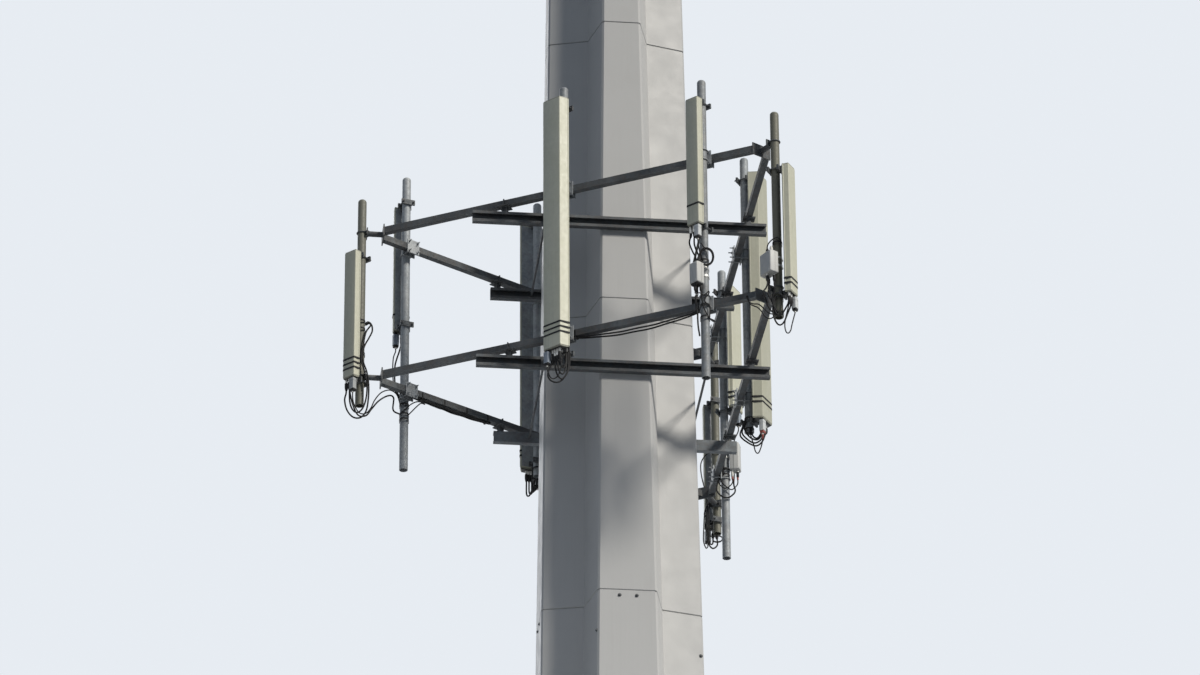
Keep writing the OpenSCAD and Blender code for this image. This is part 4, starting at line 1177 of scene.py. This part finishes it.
            (713, 548.4, -0.01), (708.8, 544, 0.03), (706.8, 533, 0.045), (706.8, 518, 0.045),
            (707.6, 500, 0.045), ("mm", -58, 46, -1199), ("mm", -34, 42, -1128)]),
        ("boot", False, [("socket", 1, 0.034), ("socket", 1, 0.06), (712.8, 543.4, -0.02),
            (710, 543.6, 0.0), (708.4, 536, 0.04), (708.6, 522, 0.05), (709.2, 508, 0.05),
            (710, 492, 0.05), ("mm", -34, 44, -1130)]),
        ("", True, [("unit", 0.15), ("unit", 0.165), (706, 548, -0.02), (703.6, 541, 0.02),
            (703.8, 528, 0.04), (704.8, 512, 0.045), ("mm", -78, 46, -1400),
            ("mm", -36, 44, -1396)]),
    ],
}

# heights of the ties round each pipe, from the upper tier
pipeTies = {
    (0, 0): (-0.870, -0.945, -1.180),
    (0, 1): (-1.560, -1.622),
    (0, 2): (-1.440, -1.555, -1.020),
    (1, 0): (-0.980, -1.500, -1.640),
    (1, 1): (-1.600, -1.700),
    (1, 2): (-1.405, -1.350),
    (2, 0): (-0.888, -1.715, -1.125, -1.400),
    (2, 1): (-1.660, -1.780),
    (2, 2): (-1.395, -1.500, -1.590, -1.640),
}
bootKinds = {
    # start along the cable, length, thickest radius, material
    "": [],
    "boot": [(0.0, 0.070, 0.0145, "band")],
    "silver": [(0.0, 0.030, 0.0130, "plated"), (0.028, 0.045, 0.0115, "band")],
    "red": [(0.0, 0.045, 0.0080, "redTip")],
    "fitting": [(0.0, 0.060, 0.0110, "band"), (0.090, 0.060, 0.0120, "paleBoot")],
}


def jumperShapes(path, boot, radius):
    # A cable and its sleeves: a sleeve's radius stays full for most of its length, then tapers.
    share = np.array([0.0, 0.02, 0.10, 0.30, 0.55, 0.75, 0.90, 0.98, 1.0])
    swell = np.array([0.80, 0.95, 1.0, 1.0, 1.0, 0.88, 0.72, 0.66, 0.60])
    return [tubeAlong(path, radius, 10, "cable_jacket")] + [
        tubeAlong(alongPath(path, start + share * length), thickest * swell, 16, material)
        for start, length, thickest, material in bootKinds[boot]]


viewRight = np.array([math.sin(math.radians(cameraSettings["heading"])),
                      -math.cos(math.radians(cameraSettings["heading"])), 0.0])
viewNear = np.array([viewRight[1], -viewRight[0], 0.0])
antennasByPipe = {place[:2]: place for place in antennaPlaces.values()}
amplifiersByPipe = {place[:2]: place for place in amplifierPlaces.values()}


def sightAxes(s):
    # The photograph's right, its up and its line of sight.
    h, p, r = np.radians([s["heading"], s["pitch"], s["roll"]])
    forward = np.array([np.cos(p) * np.cos(h), np.cos(p) * np.sin(h), np.sin(p)])
    level = np.array([np.sin(h), -np.cos(h), 0.0])
    right = np.cos(r) * level + np.sin(r) * np.cross(level, forward)
    return right, np.cross(right, forward), forward


def seenPoint(across, down, near, pipe, s):
    # Where the sight line through a pixel meets the upright plane that stands so near, measured
    # from a pipe's axis.
    right, up, forward = sightAxes(s)
    sight = (((across - s["middle"][0]) * right - (down - s["middle"][1]) * up)
             / s["focalPixels"] + forward)
    onPlane = pipePlace(*pipe)[0] + viewNear * near
    reach = ((onPlane - s["position"]) @ viewNear) / (sight @ viewNear)
    return s["position"] + sight * reach


def underAntenna(knot, pipe):
    # A place straight below a socket or a tilt unit's plug.
    origin, aim = pipePlace(*pipe)
    kind, top = antennasByPipe[pipe][2], antennasByPipe[pipe][4]
    size = antennaSettings[kind]
    back = tower["pipeRadius"] + tower["antennaGap"]
    if knot[0] == "socket":
        x, y = turned((back + size["depth"] / 2, size["sockets"][knot[1]]), aim)
    else:
        x, y = turned((back + size["depth"] - tiltSettings["inward"], size["tilt"]), aim)
    return origin + (x, y, top - size["length"] - knot[-1])


def byBox(knot, pipe, s):
    # A place above or below a box's socket or boot.
    origin, aim = pipePlace(*pipe)
    turn, w = amplifiersByPipe[pipe][2], amplifiersByPipe[pipe][4]
    forward, share = s["sockets" if knot[0] == "boxSocket" else "boots"][knot[1]]
    x, y = turned((s["back"] + forward, share * w), aim + turn)
    return origin + (x, y, knot[2] / 1000.0)


def routeKnot(knot, pipe):
    # A knot in whole millimetres from the pipe's axis: right, near and up.
    if knot[0] == "mm":
        return knot[1:]
    if knot[0] in ("socket", "unit"):
        point = underAntenna(knot, pipe)
    elif knot[0] in ("boxSocket", "boxBoot"):
        point = byBox(knot, pipe, amplifierSettings)
    else:
        point = seenPoint(*knot[:3], knot[3:] or pipe, photoSight)
    offset = point - pipePlace(*pipe)[0]
    return np.round(1000.0 * np.array([offset @ viewRight, offset @ viewNear, offset[2]]))


cableParts = {0: [], 1: [], 2: []}
for (sector, which), routes in cableRoutes.items():
    origin = pipePlace(sector, which)[0]
    for boot, thin, knots in routes:
        knots = np.array([routeKnot(knot, (sector, which)) for knot in knots]) / 1000.0
        path = evenPath(origin + knots @ np.array([viewRight, viewNear, [0.0, 0.0, 1.0]]))
        radius = cableSettings["thinRadius" if thin else "jumperRadius"]
        cableParts[sector] += jumperShapes(path, boot, radius)

# the rear long antenna's loops, which the photograph hides
origin, aim = pipePlace(2, 1)
size = antennaSettings["long"]
foot = antennaPlaces["left_long"][4] - size["length"]
socketX = tower["pipeRadius"] + tower["antennaGap"] + size["depth"] / 2
for n, y in enumerate(size["sockets"]):
    holdX, holdY = turned((cableSettings["rearHold"], 0.0), 34.0 * n - 50.0)
    low = foot - cableSettings["rearDrop"] - cableSettings["rearStep"] * n
    knots = [(socketX, y, foot - 0.034), (socketX, y, foot - 0.110),
             (socketX - 0.004, y, low + 0.03), (cableSettings["rearReach"], y * 0.8, low),
             (holdX + 0.012, holdY, low + 0.04), (holdX, holdY, foot - 0.10),
             (holdX, holdY, foot - 0.02)]
    path = movedShape({"points": evenPath(knots)}, origin, aim)["points"]
    cableParts[2] += jumperShapes(path, "boot", cableSettings["jumperRadius"])

# a tie is a ring drawn out over the cables, towards the photograph's side of the pipe and away:
# its radius grows by the bulge times |cos|^1.5 of the angle from that side
a = np.linspace(0, 2 * np.pi, 40, endpoint=False)
facing = math.atan2(viewNear[1], viewNear[0])
r = (tower["pipeRadius"] + cableSettings["tieClearance"]
     + cableSettings["tieBulge"] * np.abs(np.cos(a - facing)) ** 1.5)
tieOutline = np.column_stack([r * np.cos(a), r * np.sin(a)])
half = cableSettings["tieHeight"] / 2
for (sector, which), heights in pipeTies.items():
    origin = pipePlace(sector, which)[0]
    cableParts[sector] += [
        movedShape(bandSolid(tieOutline, cableSettings["tieThickness"], z - half, z + half,
                             "band"), origin) for z in heights]

for sector, side in enumerate(("front", "right", "left")):
    makePiece("jumperLoops_" + side, cableParts[sector], ("jumpers_" + side,),
              50.0)
print("jumpers made:", sum(len(v) for v in cableParts.values()), "parts")

# Feeders hang below a lower tube: z goes down by sag * 4 s (1 - s), for s from 0 to 1
feederRuns = [
    # sector, across the tube, from, to, share of the sag
    (0, -0.009, 0.060, 1.188, 1.0),
    (0, 0.009, 0.060, 1.188, 0.7),
    (2, -0.009, 0.560, 1.337, 0.2),
    (2, 0.009, 0.560, 1.337, 0.3),
    (2, 0.022, 0.700, 1.337, 0.1),
]
feederTies = {0: (0.075, 1.172), 2: (0.60, 0.82, 1.05, 1.28)}
feederParts = []
tubeWidth = tower["tubeWidth"]
lowerUnder = (tower["upperTier"] - tower["tierGap"] - tubeWidth / 2
              - cableSettings["tubeClearance"])
s = np.linspace(0, 1, 60)
for sector, across, begin, end, share in feederRuns:
    wave = cableSettings["feederWave"] * np.sin(s * 23.0 + across * 300.0) * np.sin(np.pi * s)
    path = np.column_stack([
        frameInradius + across + wave, begin + s * (end - begin),
        lowerUnder - cableSettings["jumperRadius"]
        - cableSettings["feederSag"] * share * 4 * s * (1 - s)])
    feederParts.append(movedShape(
        tubeAlong(path, cableSettings["jumperRadius"], 10, "cable_jacket"),
        turn=faceTurn(sector)))
wider, higher, corner, thickness, half = cableSettings["tubeTie"]
tie = bandSolid(boxOutline(tubeWidth + wider, tubeWidth + higher, corner), thickness, -half, half,
                "band")
tie = dict(tie, points=tie["points"][:, [0, 2, 1]] * np.array([1, -1, 1]))
for sector, places in feederTies.items():
    feederParts += [
        movedShape(movedShape(tie, (frameInradius, y, lowerUnder + tubeWidth / 2 - 0.008)),
                   turn=faceTurn(sector)) for y in places]
makePiece("feederRuns", feederParts, ("feeder_cables",), 50.0)
print("feeders made")


# Fixing studs just below the second seam, on the outer face and the flanks of each lobe

studSettings = {
    "height": 5.450,
    "reach": 0.6639,
    "across": (-0.065, 0.076),
    "flank": (0.6440, -0.2515, 5.132),
    "flankTurn": -77.3,
    "radius": 0.010,
    # a washer and a domed nut: shares of the radius, and heights
    "profile": [(0.5, -0.004), (1.6, -0.002), (1.6, 0.0015), (1.5, 0.0022), (1.0, 0.0023),
                (1.0, 0.0080), (0.75, 0.0110), (0.3, 0.0125)],
}
profile = [(share * studSettings["radius"], z) for share, z in studSettings["profile"]]
stud = laidForward(turnedSolid(profile, 18, "weathered_steel"))
oneLobe = [movedShape(stud, (studSettings["reach"], y, studSettings["height"]))
           for y in studSettings["across"]]
oneLobe.append(movedShape(stud, studSettings["flank"], studSettings["flankTurn"]))
studs = [movedShape(one, turn=90.0 * lobe) for lobe in range(4) for one in oneLobe]
makePiece("poleStuds", studs)
print("studs made:", len(studs))


# Floor

floorMaterial, _, floorShader = startMaterial("studioFloor", roughness=0.9, specular=0.1)
floorShader.inputs["Base Color"].default_value = studio["floorColour"]
materials["studioFloor"] = floorMaterial
(low, high), hole, rim = studio["floorHeights"], studio["floorHole"], studio["floorRadius"]
floor = makeObject("studioFloor", [turnedSolid([(hole, low), (rim, low), (rim, high), (hole, high)],
                                               96, "studioFloor")])

print("scene ready")
